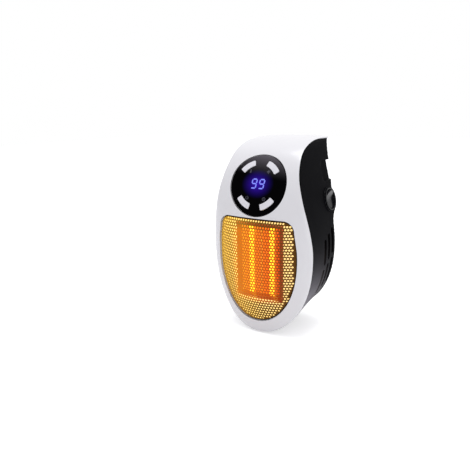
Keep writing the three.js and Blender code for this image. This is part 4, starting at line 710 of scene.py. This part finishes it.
def moulded(name, colour, shade, gloss, handling=0.1, grain=0.5, relief=0.05, coat=0.0, metallic=0.0, specular=0.5):
    """A plastic or metal finish: its colour, the colour of its flow marks, its roughness and its grain in mm."""
    material, tree, shader = new_material(name)
    group = add_node(tree, "ShaderNodeGroup", node_tree=marks)
    given = {"Gloss": gloss, "Handling": handling, "Grain size": grain}
    for socket, value in {"Colour": (*colour, 1), "Flow shade": (*shade, 1), **given}.items():
        group.inputs[socket].default_value = value
    bump = add_node(
        tree, "ShaderNodeBump", {"Height": group.outputs["Height"], "Strength": relief, "Distance": 0.0002}
    )
    tree.links.new(group.outputs["Colour"], shader.inputs["Base Color"])
    tree.links.new(group.outputs["Roughness"], shader.inputs["Roughness"])
    tree.links.new(bump.outputs["Normal"], shader.inputs["Normal"])
    shader.inputs["Metallic"].default_value = metallic
    shader.inputs["Coat Weight"].default_value = coat
    shader.inputs["Coat Roughness"].default_value = 0.08
    shader.inputs["Specular IOR Level"].default_value = specular
    return material


def fade_to(material, share, colour):
    """Turn the material's colour into the given one as the share grows."""
    tree = material.node_tree
    own = tree.nodes["Group"].outputs["Colour"]
    tree.links.new(mixed(tree, share, own, (*colour, 1)), tree.nodes["Principled BSDF"].inputs["Base Color"])


white_plastic = moulded(
    "white_gloss_plastic", (0.78, 0.775, 0.8), (0.76, 0.755, 0.78), 0.3, 0.08, 0.9, 0.03, coat=0.2
)
front_shell.data.materials.append(white_plastic)
black_plastic, sheen_painted_plastic = (
    moulded(name, (0.0022, 0.0022, 0.003), (0.003, 0.003, 0.004), 0.4, 0.12, 0.35, 0.18, specular=0.006)
    for name in ("black_satin_plastic", "satin_plastic_painted_sheen")
)
# The rear shell's colour turns a lighter grey towards its bottom, the more so towards the seam: a painted sheen of
# light on its lower sides.
tree = sheen_painted_plastic.node_tree
_, (_, spot_y, spot_z) = object_place(tree)
low = maths(tree, "POWER", share_between(tree, spot_z, -0.05, -0.109), 3.0)
near_seam = share_between(tree, spot_y, -0.022, -0.06, 0.1)
fade_to(sheen_painted_plastic, maths(tree, "MULTIPLY", low, near_seam), (0.2, 0.19, 0.215))
rear_shell.data.materials.append(sheen_painted_plastic)

# Grille: a steel sheet punched all over with small round holes, pressed into a low dome and painted dark bronze.
# It sits behind the rim of the front shell's opening, held by its plain flange. Its paint carries painted light: an
# orange glow where the heater lies behind it and a golden glow towards its left.
grille_sheet, grille_flange, grille_seat, grille_gap, painted_rim = 0.45, 2.0, 2.9, 0.4, 0.45
rim_rise, rim_width, dome_rise, dome_run = 2.3, 0.9, 5.7, 38.0
hole_pitch, row_pitch, hole_radius, hole_sides, hole_margin, least_margin = 2.65, 2.54, 0.9, 12, 1.7, 1.3


def flat_finder(places):
    finder = KDTree(len(places))
    for i, (x, z) in enumerate(places):
        finder.insert((x, z, 0), i)
    finder.balance()
    return finder


rim_line = spread(grille_outline(0), 0.2)
rim_way = unit(np.roll(rim_line, -1, axis=0) - np.roll(rim_line, 1, axis=0))
rim_inward = rim_way[:, ::-1] * (-1, 1)
rim_inward *= np.sign(np.sum(rim_inward * ((0, widest_z) - rim_line), axis=1))[:, None]
rim_finder = flat_finder(rim_line)


def from_rim(flat):
    """How far inside the outline each flat place lies."""
    away = np.array([rim_finder.find((x, z, 0))[2] for x, z in flat])
    return np.where(is_inside(rim_line, flat), away, 0)


def dome_depth(flat):
    """The grille's front at flat places, x and z: the shell's own face set back, a steep rim and a low dome."""
    x, z = flat.T
    down = np.clip((widest_z - z) / (widest_z - tip_z - grille_seat), 0, 1)
    low_g = 1 + np.arcsin(down ** (outline_power / 2)) * 2 / math.pi
    g = np.where(z >= widest_z, np.interp(-z, -seam[:, 1], seam_run), low_g)
    y, _, _, half, crown, _ = rib(g, grille_seat)
    across = np.clip(np.abs(x) / np.maximum(half, 1e-6), 0, 1)
    seat = y - crown * (1 - across**edge_power) ** (1 / edge_power)
    inside = np.maximum(from_rim(flat) - grille_gap, 0)
    climb = 1 - np.minimum(inside / rim_width, 1)
    rim = rim_rise * (1 - climb**edge_power) ** (1 / edge_power)
    return seat - rim - dome_rise * (1 - (1 - np.minimum(inside / dome_run, 1)) ** 2)


def dome_points(flat, back=0.0):
    """Places on the grille's front, or behind it by the sheet's thickness, and the front's normals."""
    step = 0.06
    slope_x = (dome_depth(flat + (step, 0)) - dome_depth(flat - (step, 0))) / (2 * step)
    slope_z = (dome_depth(flat + (0, step)) - dome_depth(flat - (0, step))) / (2 * step)
    normals = unit(np.stack([slope_x, -np.ones_like(slope_x), slope_z], -1))
    points = np.stack([flat[:, 0], dome_depth(flat), flat[:, 1]], -1)
    return points - normals * back, normals


middle_x, middle_z = np.linspace(0, grille_half - 3, 200), -85.0
middle_depth = dome_depth(np.c_[middle_x, np.full_like(middle_x, middle_z)])
middle_run = np.r_[0, np.cumsum(np.hypot(np.diff(middle_x), np.diff(middle_depth)))]
hole_centres = []
for i in range(int((grille_top - grille_bottom) / row_pitch)):
    run = (np.arange(-18, 19) + 0.5 * (i % 2)) * hole_pitch
    run = run[np.abs(run) < middle_run[-1]]
    across = np.sign(run) * np.interp(np.abs(run), middle_run, middle_x)
    hole_centres.append(np.c_[across, np.full(len(run), grille_top - hole_margin - i * row_pitch)])
hole_centres = np.vstack(hole_centres)
hole_centres = hole_centres[from_rim(hole_centres) > least_margin]
hole_turn = np.linspace(0, 2 * math.pi, hole_sides, endpoint=False)
hole_ring = hole_radius * np.c_[np.cos(hole_turn), np.sin(hole_turn)]
rim_rows = [
    rim_line[::5] + rim_inward[::5] * (grille_gap + inside) for inside in (0, 0.02, 0.08, 0.2, 0.4, 0.65, rim_width)
]
grille_border = spread(grille_outline(grille_flange), 1.2)
flat, corners, _ = triangulated([], [grille_border, *rim_rows, *(hole_ring + centre for centre in hole_centres)])
middle = flat[corners].mean(1)
hole_finder = flat_finder(hole_centres)
away = middle - hole_centres[[hole_finder.find((x, z, 0))[1] for x, z in middle]]
side_turn = np.arctan2(away[:, 1], away[:, 0]) % (2 * math.pi / hole_sides) - math.pi / hole_sides
hole_wall = hole_radius * math.cos(math.pi / hole_sides) / np.cos(side_turn)
corners = corners[np.linalg.norm(away, axis=1) > hole_wall - 1e-5]
outer, outer_normals = dome_points(flat)
inner, _ = dome_points(flat, grille_sheet)
grille_faces = two_sided(corners, outer, outer_normals)
once = {(int(c[i]), int(c[(i + 1) % 3])) for c in corners for i in range(3)}
grille_faces += [(j, i, i + len(flat), j + len(flat)) for i, j in once if (j, i) not in once]
grille = mesh_piece("punched_grille", np.vstack([outer, inner]), grille_faces)
grille.data.set_sharp_from_angle(angle=math.radians(50))
on_rim = from_rim(flat[corners].mean(1)) < grille_gap + painted_rim
on_rim = np.r_[on_rim, on_rim, np.zeros(len(grille_faces) - 2 * len(corners))]
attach(grille, "housing")
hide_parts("grille")


def across_colours(tree, x, stops):
    """A colour ramp across the heater, from stops of x in millimetres and colour."""
    low, high = stops[0][0], stops[-1][0]
    ramp = add_node(tree, "ShaderNodeValToRGB", {"Fac": share_between(tree, x, low * mm, high * mm)})
    ramp.color_ramp.interpolation = "EASE"
    elements = ramp.color_ramp.elements
    for i, (at, colour) in enumerate(stops):
        place = (at - low) / (high - low)
        element = elements[0] if i == 0 else elements[-1] if i == len(stops) - 1 else elements.new(place)
        element.position, element.color = place, (*colour, 1)
    return ramp.outputs["Color"]


def light_up(shader, colour, strength):
    shader.id_data.links.new(colour, shader.inputs["Emission Color"])
    shader.inputs["Emission Strength"].default_value = strength


def near(tree, value, middle, fade_end, fade_start):
    """1 near the middle, fading to 0 from one distance to the other."""
    distance = maths(tree, "ABSOLUTE", maths(tree, "SUBTRACT", value, middle))
    return share_between(tree, distance, fade_end, fade_start)


bronze_paint = moulded(
    "bronze_paint", (0.12, 0.05, 0.01), (0.085, 0.034, 0.006), 0.45, 0.2, 0.3, 0.1, specular=0.06
)
rim_paint = moulded(
    "dark_rim_paint", (0.035, 0.017, 0.006), (0.028, 0.013, 0.005), 0.5, 0.2, 0.3, 0.1, specular=0.06
)
tree = bronze_paint.node_tree
_, (spot_x, _, spot_z) = object_place(tree)
# The web's emission is painted light of the heater: orange with brighter bands in front of it, and a golden glow
# fading from the left side towards the right.
lit_web = across_colours(
    tree,
    spot_x,
    [
        (-18, (0.6, 0.19, 0.008)),
        (0, (0.55, 0.12, 0.006)),
        (3, (0.64, 0.18, 0.007)),
        (6, (0.5, 0.09, 0.005)),
        (19, (0.4, 0.06, 0.004)),
        (22, (0.48, 0.12, 0.006)),
        (25, (0.26, 0.03, 0.002)),
        (28, (0.2, 0.02, 0.002)),
    ],
)
painted_side_glow = across_colours(
    tree,
    spot_x,
    [(-42, (0.5, 0.29, 0.025)), (-20, (0.3, 0.15, 0.012)), (10, (0.06, 0.03, 0.002)), (42, (0.02, 0.01, 0.001))],
)
in_window = maths(
    tree, "MULTIPLY", near(tree, spot_z, fan_z * mm, 0.036, 0.031), near(tree, spot_x, 0.004, 0.026, 0.02)
)
light_up(tree.nodes["Principled BSDF"], mixed(tree, in_window, painted_side_glow, lit_web), 1.0)
grille.data.materials.append(bronze_paint)
grille.data.materials.append(rim_paint)
grille.data.polygons.foreach_set("material_index", on_rim.astype(int))

# Control panel: a round, slightly curved disc of gloss black plastic that lies flush in the front shell, on a ring
# that closes the gap round it. The display shines through it, so its middle glows blue, and four openings let the
# keys through.
key_inner, key_outer, key_half_turn, key_proud, key_corner = 17.8, 23.1, 19.5, 0.4, 0.9
key_turns = {"key_temperature": 127, "key_fan_speed": 53, "key_power": 235, "key_timer": 305}
panel_edge, panel_deep, key_clearance, panel_round = 0.45, 2.0, 0.25, 0.3
seat_outer, seat_inner, seat_sunk, seat_deep = 29.3, 25.4, 2.6, 0.8
display_shift, display_rise, halo_reach = 0.6, 0.7, (0.0165, 0.0135, 0.0135)


def key_loop(turn_deg, margin, pitch=0.5):
    """A key's outline on the panel's plane: a piece of a ring with rounded corners."""
    inner_r, outer_r = key_inner - margin, key_outer + margin
    middle, half_r = (inner_r + outer_r) / 2, (outer_r - inner_r) / 2
    half_angle = math.radians(key_half_turn) + margin / middle
    corner = max(key_corner + margin, 0.2)
    turn = np.linspace(0, math.pi / 2, 8)
    r = middle + (half_r - corner + corner * np.cos(turn))
    outer_corner = np.c_[r, half_angle - corner / r + corner * np.sin(turn) / r]
    inner_corner = outer_corner[::-1] * (-1, 1) + (2 * middle, 0)
    upper_side = np.vstack([outer_corner, inner_corner])
    whole = np.vstack([upper_side, (upper_side * (1, -1))[::-1]])
    dense = []
    for here, after in zip(whole, np.roll(whole, -1, axis=0)):
        step = after - here
        steps = max(1, int(math.hypot(step[0], step[1] * middle) / pitch))
        dense += [here + step * s / steps for s in range(steps)]
    r, angle = np.array(dense).T
    angle = math.radians(turn_deg) + angle
    return np.c_[r * np.cos(angle), r * np.sin(angle)]


def on_disc(lift=0.0, depth=panel_deep):
    """A place function for a skin that follows the panel's surface, raised by the lift."""

    def place(flat):
        points, normals = face_spot(*on_panel(flat).T)
        points = points + panel_out * lift
        return points, normals, points - panel_out * depth

    return place


control_panel = skin_piece(
    "control_disc",
    on_disc(),
    round_loop(panel_radius - panel_edge, 0.9),
    [key_loop(turn, key_clearance + panel_round) for turn in key_turns.values()],
    pitch=1.3,
    rounding=panel_round,
)
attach(control_panel, "housing")
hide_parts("control_panel")
glass_black = moulded(
    "gloss_black_plastic", (0.0006, 0.0005, 0.0008), (0.0009, 0.0008, 0.0012), 0.16, 0.05, 1.2, 0.01, specular=0.012
)
tree = glass_black.node_tree


def vector_maths(operation, output, *values):
    return add_node(tree, "ShaderNodeVectorMath", dict(enumerate(values)), operation=operation).outputs[output]


display_centre = tuple((panel_centre + panel_up * display_rise) * mm)
away = vector_maths("SUBTRACT", 0, add_node(tree, "ShaderNodeTexCoord").outputs["Object"], display_centre)
distance = vector_maths("LENGTH", 1, vector_maths("MULTIPLY", 0, away, [1 / reach for reach in halo_reach]))
halo = maths(tree, "POWER", maths(tree, "MAXIMUM", maths(tree, "SUBTRACT", 1.0, distance), 0.0), 1.5)
glow = add_node(tree, "ShaderNodeValToRGB", {"Fac": halo})
glow.color_ramp.elements[0].color = (0, 0, 0, 1)
glow.color_ramp.elements[1].color = (0.035, 0.006, 0.42, 1)
light_up(tree.nodes["Principled BSDF"], glow.outputs["Color"], 1.0)
# The panel's colour turns grey towards its upper edge: a painted reflection of the room on the gloss.
height = vector_maths("DOT_PRODUCT", "Value", away, (0.12, *(panel_up[1:] * 0.99)))
painted_reflection = maths(tree, "POWER", share_between(tree, height, 0.006, 0.027), 1.6)
fade_to(glass_black, painted_reflection, (0.115, 0.105, 0.12))
control_panel.data.materials.append(glass_black)

panel_seat = skin_piece(
    "panel_seat",
    on_disc(-seat_sunk, seat_deep),
    round_loop(seat_outer, 1.2),
    [round_loop(seat_inner, 1.2)],
    pitch=1.5,
    rounding=0.1,
)
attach(panel_seat, "housing")
panel_seat.data.materials.append(
    moulded("seat_plastic", (0.01, 0.01, 0.012), (0.014, 0.014, 0.016), 0.5, 0.1, 0.4, 0.1, specular=0.2)
)

# Display: two seven-segment digits of blue light behind the panel. Each segment is a thin six-sided bar.
digit_height, digit_width, digit_gap, digit_lean = 9.2, 5.6, 2.0, 0.1
segment_width, segment_gap, segment_rise, printed_depth = 1.15, 0.18, 0.03, 0.3
segments = [
    ((-1, 1), (1, 1)),
    ((1, 1), (1, 0)),
    ((1, 0), (1, -1)),
    ((-1, -1), (1, -1)),
    ((-1, 1), (-1, 0)),
    ((-1, 0), (1, 0)),
]


def sleeve(rows, ends=(0, -1), closed=False):
    """Faces of a tube through the rings of point numbers, which can close on itself, with a face at the ends."""
    rings = zip(rows, np.roll(rows, -1, axis=0) if closed else rows[1:])
    return [(a[k], a[k - 1], b[k - 1], b[k]) for a, b in rings for k in range(len(a))] + [rows[k] for k in ends]


def turned_out(piece, rounded=False):
    """The piece with its faces turned outwards. A rounded one has its twin points joined, its sharp edges kept."""
    made = bmesh.new()
    made.from_mesh(piece.data)
    if rounded:
        bmesh.ops.remove_doubles(made, verts=made.verts, dist=1e-7)
    bmesh.ops.recalc_face_normals(made, faces=made.faces)
    made.to_mesh(piece.data)
    if rounded:
        piece.data.set_sharp_from_angle(angle=math.radians(40))
    return piece


def panel_relief(flat, rise):
    """Places a little in front of the panel, and then the same number of places inside it."""
    spots, ups = face_spot(*on_panel(flat).T)
    return [*(spots + ups * rise), *(spots - ups * printed_depth)]


digit_points, digit_faces = [], []
for side in (-1, 1):
    digit_x = side * (digit_width + digit_gap) / 2 + display_shift
    for ends in segments:
        start, end = np.array(ends) * ((digit_width - segment_width) / 2, (digit_height - segment_width) / 2)
        along = unit(end - start)
        across = np.array([-along[1], along[0]])
        start, end = start + along * segment_gap, end - along * segment_gap
        t = segment_width / 2
        upper = [start, start + (along + across) * t, end + (across - along) * t]
        bar = np.array([*upper, end, end - (along + across) * t, start + (along - across) * t])
        bar[:, 0] += bar[:, 1] * digit_lean
        digit_faces += sleeve(len(digit_points) + np.arange(12).reshape(2, 6))
        digit_points += panel_relief(bar + (digit_x, display_rise), segment_rise)
lit_digits = turned_out(mesh_piece("lit_digits", digit_points, digit_faces, smooth_faces=False))
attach(lit_digits, "housing")
digit_light, tree, shader = new_material("blue_digit_light")
uneven = add_node(tree, "ShaderNodeTexNoise", {"Scale": 400.0}).outputs["Fac"]
light_up(shader, mixed(tree, uneven, (0.16, 0.2, 1.0, 1), (0.24, 0.28, 1.0, 1)), 1.0)
shader.inputs["Base Color"].default_value = (0.02, 0.02, 0.05, 1)
lit_digits.data.materials.append(digit_light)

# Symbols: four small marks printed in grey inside the keys, for temperature, fan, power and timer. Each is made of
# thin raised lines of ink.
symbol_radius, ink_width, ink_height = 14.9, 0.3, 0.04
turn = np.linspace(0, 2 * math.pi, 25)
circle = np.c_[np.cos(turn), np.sin(turn)]
petals = np.cos(2 * turn)[:, None] * circle
open_turn = np.radians(np.linspace(125, 415, 20))
symbols = {
    "key_temperature": [0.6 * circle - (0, 0.95), [(-0.3, -0.4), (-0.3, 1.2), (0, 1.5), (0.3, 1.2), (0.3, -0.4)]],
    "key_fan_speed": [1.55 * petals],
    "key_power": [1.3 * np.c_[np.cos(open_turn), np.sin(open_turn)], [(0, 0.4), (0, 1.6)]],
    "key_timer": [1.4 * circle, [(0, 0.9), (0, 0), (0.65, 0)]],
}
ink_points, ink_faces = [], []
for name, lines in symbols.items():
    turn = math.radians(key_turns[name])
    for line in lines:
        line = line + symbol_radius * np.array((math.cos(turn), math.sin(turn)))
        side = unit(np.gradient(line, axis=0))[:, ::-1] * (-1, 1) * ink_width / 2
        count = len(line)
        ink_faces += sleeve(len(ink_points) + np.arange(count)[:, None] + count * np.array([0, 1, 3, 2]))
        ink_points += panel_relief(np.vstack([line + side, line - side]), ink_height)
key_symbols = turned_out(mesh_piece("key_symbols", ink_points, ink_faces, smooth_faces=False))
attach(key_symbols, "housing")
key_symbols.data.materials.append(
    moulded("grey_ink", (0.13, 0.13, 0.16), (0.11, 0.11, 0.14), 0.5, 0.1, 0.2, 0.05, specular=0.1)
)

# Keys: four push keys in pale grey satin plastic, pieces of one ring, each a hair above the panel. They press in
# against the switches on the board behind.
key_deep, key_round = 3.4, 0.35
key_plastic = moulded("pale_key_plastic", (0.78, 0.77, 0.82), (0.74, 0.73, 0.78), 0.42, 0.08, 0.4, 0.08)
for name, turn in key_turns.items():
    key = skin_piece(
        name + "_cap", on_disc(key_proud, key_deep), key_loop(turn, -key_round), [], pitch=0.9, rounding=key_round
    )
    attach(key, name)
    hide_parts(name)
    key.data.materials.append(key_plastic)

# Plug: a black moulded disc that carries the pins. Its wide flange turns in the rear shell, held by the ring behind
# it. The round ground pin is a turned rod of nickel-plated brass with a rounded tip.
face_radius, edge_radius, flange_radius, hub_radius, flange_front, flange_back = 13.3, 15, 17, 11.7, -7.5, -4.5
edge_bend, face_step, flange_bevel, hub_back, bore = 0.8, 0.25, 0.3, -12, 0.02
pin_radius, pin_tip, pin_root, pin_drop = 2.4, 21.4, -15, -5.9


def turned_piece(name, profile, centre, axis, across, steps=96):
    """A closed ring turned from a closed profile of radius and height about the axis."""
    axis, across = np.array(axis, float), np.array(across, float)
    third = np.cross(axis, across)
    points = []
    for turn in 2 * math.pi * np.arange(steps) / steps:
        spoke = across * math.cos(turn) + third * math.sin(turn)
        points += [centre + spoke * r + axis * h for r, h in profile]
    rings = np.arange(len(points)).reshape(steps, -1)
    return turned_out(mesh_piece(name, points, sleeve(rings, ends=(), closed=True)), rounded=True)


turn = np.linspace(0, math.pi / 2, 7)
disc_profile = [
    (bore, -face_step),
    (face_radius - 0.2, -face_step),
    (face_radius, 0),
    *np.c_[edge_radius - edge_bend + edge_bend * np.sin(turn), edge_bend * np.cos(turn) - edge_bend],
    (edge_radius, flange_back),
    (flange_radius - flange_bevel, flange_back),
    (flange_radius, flange_back - flange_bevel),
    (flange_radius, flange_front + flange_bevel),
    (flange_radius - flange_bevel, flange_front),
    (hub_radius, flange_front),
    (hub_radius, hub_back),
    (bore, hub_back),
]
plug_face = turned_piece("plug_face_disc", disc_profile, np.zeros(3), (0, 1, 0), (1, 0, 0), steps=120)
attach(plug_face, "plug")
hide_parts("plug_disc")
plug_face.data.materials.append(black_plastic)
turn = np.linspace(0, math.pi / 2, 9)[:-1]
pin_end = np.c_[pin_radius * np.cos(turn), pin_tip - pin_radius + pin_radius * np.sin(turn)]
pin_profile = [(0.01, pin_root), (pin_radius, pin_root), *pin_end, (0.01, pin_tip)]
pin_centre = np.array([0, 0, pin_drop])
ground_pin = turned_piece("round_ground_pin", pin_profile, pin_centre, (0, 1, 0), (1, 0, 0), steps=40)
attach(ground_pin, "plug")
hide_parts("ground_pin")
nickel = moulded("nickel_pins", (0.62, 0.58, 0.52), (0.56, 0.52, 0.46), 0.24, 0.1, 0.3, 0.05, metallic=1.0)
ground_pin.data.materials.append(nickel)

# Switch: a round rocker switch pressed into the right side. Its black bezel ring stands proud of the shell, and the
# rocker is a black disc with a hollow across its middle that tips between on and off.
bezel_crown = [(9.0, 0.9), (9.15, 1.35), (9.5, 1.62), (10.1, 1.7), (10.8, 1.5), (11.3, 1.0), (11.55, 0.3)]
bezel_profile = [(9.0, -5.5), *bezel_crown, (11.55, -0.6), (10.3, -1.2), (10.3, -5.5)]
bezel = turned_piece("switch_bezel", bezel_profile, switch_centre, switch_out, switch_up)
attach(bezel, "housing")
bezel.data.materials.append(
    moulded("bezel_plastic", (0.007, 0.007, 0.009), (0.01, 0.01, 0.013), 0.3, 0.1, 0.4, 0.1, specular=0.15)
)

rocker_radius, rocker_dip, rocker_lobe, rocker_crown, rocker_deep = 8.5, 1.2, 2.4, 0.9, 2.0
rocker_rim, rocker_rim_drop, rocker_tilt = 0.7, 0.6, math.radians(11)
rings, spokes = 14, 72
switch_side = np.cross(switch_up, switch_out)
tilt_up = switch_up * math.cos(rocker_tilt) + switch_out * math.sin(rocker_tilt)
tilt_out = unit(switch_out - tilt_up * (switch_out @ tilt_up))
turn = 2 * math.pi * np.arange(spokes) / spokes
radii = rocker_radius * np.r_[(np.arange(rings + 1) / rings) ** 0.9, 1][:, None]
up, across = radii * np.sin(turn), radii * np.cos(turn)
hollow = -rocker_dip + (rocker_lobe + rocker_dip - rocker_crown) * np.abs(up / rocker_radius) ** 1.6
rim = np.maximum(0, radii - (rocker_radius - rocker_rim)) / rocker_rim
height = hollow + rocker_crown - rocker_rim_drop * rim**2
height[-1] = -rocker_deep
rocker_points = switch_centre + sum(
    share[..., None] * way for share, way in ((up, tilt_up), (across, switch_side), (height, tilt_out))
)
rocker_faces = sleeve(np.arange(radii.size * spokes).reshape(-1, spokes), ends=(-1,))
rocker = turned_out(mesh_piece("rocker_cap", rocker_points.reshape(-1, 3), rocker_faces), rounded=True)
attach(rocker, "rocker")
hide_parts("rocker")
rocker_plastic = moulded(
    "rocker_plastic", (0.006, 0.006, 0.008), (0.009, 0.009, 0.012), 0.24, 0.08, 0.6, 0.05, specular=0.15
)
rocker.data.materials.append(rocker_plastic)

# Heater: a ceramic heater. Four stacks of folded aluminium fins stand between two heating bars and a thin centre
# strip, in a dark red frame. It is shown switched on, so its parts glow through the grille.
fin_thickness, fin_pitch, fin_front, fin_back, fin_margin, fin_rail = 0.16, 1.5, -69.5, -59.2, 0.3, 0.5


def glowing(name, stops, strength, base=(0.3, 0.1, 0.03), depth=0.25):
    """A hot or lit piece, its light running from colour to colour across the heater, with a faint unevenness."""
    material, tree, shader = new_material(name)
    spot, (x, _, _) = object_place(tree)
    uneven = noise(tree, spot, 150.0, 3.0)
    dim = share_between(tree, uneven, 0.3, 0.7, 1 - depth)
    settings = {0: across_colours(tree, x, stops), "Scale": dim}
    light_up(shader, add_node(tree, "ShaderNodeVectorMath", settings, operation="SCALE").outputs[0], strength)
    tree.links.new(maths(tree, "MULTIPLY_ADD", uneven, 0.3, 0.35), shader.inputs["Roughness"])
    shader.inputs["Base Color"].default_value = (*base, 1)
    return material


fin_glow = glowing(
    "fin_glow",
    [(-21, (1.0, 0.33, 0.02)), (-5, (0.95, 0.21, 0.012)), (9, (0.9, 0.15, 0.01)), (21, (0.5, 0.045, 0.004))],
    1.25,
)
ring_order = [0, 1, 3, 2]
for name in ("fin_stack_1", "fin_stack_2", "fin_stack_3", "fin_stack_4"):
    low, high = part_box(name)
    x0, x1, z0, z1 = low.x / mm, high.x / mm, low.z / mm, high.z / mm
    left, right = x0 + fin_rail, x1 - fin_rail
    folds = int((z1 - z0) / fin_pitch)
    points = [
        (left if i % 2 else right, y, z0 + fin_margin + (z1 - z0 - 2 * fin_margin) * i / folds + dz)
        for i in range(folds + 1)
        for dz in (-fin_thickness / 2, fin_thickness / 2)
        for y in (fin_front, fin_back)
    ]
    faces = sleeve(np.arange(len(points)).reshape(-1, 4)[:, ring_order])
    for x in (x0, right):
        faces += sleeve(len(points) + np.arange(8).reshape(2, 4)[:, ring_order])
        points += [(x + dx, y, z) for dx in (0, fin_rail) for y in (fin_front, fin_back) for z in (z0, z1)]
    fins = turned_out(mesh_piece(name + "_folds", points, faces, smooth_faces=False))
    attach(fins, "housing")
    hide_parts(name)
    fins.data.materials.append(fin_glow)

# Inner pieces: the CAD pieces that show as they are. Those of the heater glow, and on the heater's frame and its
# cream air guide the glow is painted light of the heater falling on them. The others get the plastic, metal or board
# that their slot names.
bar_glow = glowing("bar_glow", [(-21, (1.0, 0.46, 0.012)), (21, (1.0, 0.42, 0.016))], 3.6, depth=0.1)
cad_finishes = {
    "heating_bar_left": bar_glow,
    "heating_bar_right": bar_glow,
    "centre_strip": glowing("strip_glow", [(-21, (1.0, 0.45, 0.02)), (21, (1.0, 0.4, 0.02))], 1.0),
    # The air guide's glow is painted light of the heater falling on it.
    "air_guide": glowing(
        "guide_light",
        [(-44, (1.0, 0.64, 0.1)), (-16, (1.0, 0.7, 0.17)), (12, (0.84, 0.61, 0.2)), (44, (0.78, 0.56, 0.19))],
        1.5,
        base=(0.8, 0.7, 0.45),
        depth=0.1,
    ),
    # The frame's glow is painted light of the heater falling on it, brightest on the left.
    "heater_frame": glowing(
        "frame_painted_glow",
        [(-25, (0.7, 0.17, 0.01)), (0, (0.3, 0.04, 0.004)), (25, (0.22, 0.015, 0.002))],
        1.0,
        base=(0.16, 0.012, 0.006),
    ),
}
dark_plastic = moulded("dark_inner_plastic", (0.03, 0.03, 0.034), (0.036, 0.036, 0.04), 0.5, 0.1, 0.4, 0.15)
by_slot = {
    "dark_plastic": dark_plastic,
    "board": moulded("board_laminate", (0.02, 0.12, 0.05), (0.016, 0.1, 0.042), 0.4, 0.1, 0.6, 0.05),
    "steel": moulded("bright_steel", (0.55, 0.55, 0.57), (0.5, 0.5, 0.53), 0.28, 0.1, 0.3, 0.05, metallic=1.0),
    "brass": nickel,
    "blue_part": moulded("blue_part_case", (0.02, 0.1, 0.4), (0.02, 0.085, 0.34), 0.35),
    "yellow_part": moulded("yellow_part_case", (0.7, 0.5, 0.03), (0.6, 0.42, 0.03), 0.4),
    "display": dark_plastic,
    "black_shell": black_plastic,
    "gloss_black": rocker_plastic,
}
for name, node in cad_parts.items():
    old = node.data.materials[0].name if node.data.materials else ""
    finish = next((finish for slot, finish in by_slot.items() if old.startswith(slot)), dark_plastic)
    node.data.materials.clear()
    node.data.materials.append(cad_finishes.get(name, finish))

# Floor, light and camera: a pale floor just under the heater in a white room, a soft lamp above it, a weak one at
# its right, and the camera where the photograph was taken from.
floor_z, floor_reach = cad_low.z / mm - 1, 3000
floor_corners = [(x * floor_reach, y * floor_reach, floor_z) for x, y in ((-1, -1), (1, -1), (1, 1), (-1, 1))]
floor = mesh_piece("pale_floor", floor_corners, [(0, 1, 2, 3)], smooth_faces=False)
floor_material = moulded("pale_floor", (0.94, 0.94, 0.94), (0.93, 0.93, 0.93), 0.8, 0.05, 2.0, 0.02, specular=0.1)


def seen_by_camera(tree):
    """1 for what the camera sees, also in a reflection or through glass, and 0 for the light on other pieces."""
    path = add_node(tree, "ShaderNodeLightPath").outputs
    seen = maths(tree, "MAXIMUM", path["Is Camera Ray"], path["Is Glossy Ray"])
    return maths(tree, "MAXIMUM", seen, path["Is Transmission Ray"])


tree = floor_material.node_tree
shader = tree.nodes["Principled BSDF"]
tree.links.new(maths(tree, "MULTIPLY", seen_by_camera(tree), 0.55), shader.inputs["Emission Strength"])
shader.inputs["Emission Color"].default_value = (1, 1, 1, 1)
floor.data.materials.append(floor_material)

world = bpy.data.worlds.new("white_room")
bpy.context.scene.world = world
world.use_nodes = True
tree = world.node_tree
tree.nodes.clear()
room = add_node(tree, "ShaderNodeBackground", {"Color": (0.97, 0.965, 1.0, 1), "Strength": 0.68})
white = add_node(tree, "ShaderNodeBackground", {"Color": (1, 1, 1, 1), "Strength": 1.0})
both = add_node(tree, "ShaderNodeMixShader", {0: seen_by_camera(tree), 1: room.outputs[0], 2: white.outputs[0]})
add_node(tree, "ShaderNodeOutputWorld", {"Surface": both.outputs[0]})

for name, place, target, size, power in (
    ("lamp_above", (-0.02, -0.06, 1.0), (0, -0.04, -0.05), 0.7, 5.4),
    ("lamp_right", (0.9, -0.12, -0.08), (0, -0.06, -0.09), 0.5, 0.9),
):
    light = bpy.data.lights.new(name, "AREA")
    light.shape, light.size, light.energy = "DISK", size, power
    lamp = bpy.data.objects.new(name, light)
    lamp.location = place
    lamp.rotation_euler = (Vector(target) - Vector(place)).to_track_quat("-Z", "Y").to_euler()
    bpy.context.collection.objects.link(lamp)

camera_place, camera_roll = (0.21609, -0.43387, 0.05293), math.radians(-1.259)
forward = Vector((-0.54064, 0.80377, -0.24832)).normalized()
right = forward.cross(Vector((0, 0, 1))).normalized()
up = right.cross(forward)
tilted_right = right * math.cos(camera_roll) + up * math.sin(camera_roll)
tilted_up = up * math.cos(camera_roll) - right * math.sin(camera_roll)
camera_data = bpy.data.cameras.new("photo_camera")
camera_data.lens, camera_data.sensor_width, camera_data.clip_start = 36.81, 36.0, 0.01
camera = bpy.data.objects.new("photo_camera", camera_data)
camera_turn = Matrix((tilted_right, tilted_up, -forward)).transposed().to_4x4()
camera.matrix_world = Matrix.Translation(camera_place) @ camera_turn
bpy.context.collection.objects.link(camera)
bpy.context.scene.camera = camera
bpy.context.scene.view_settings.view_transform = "Standard"
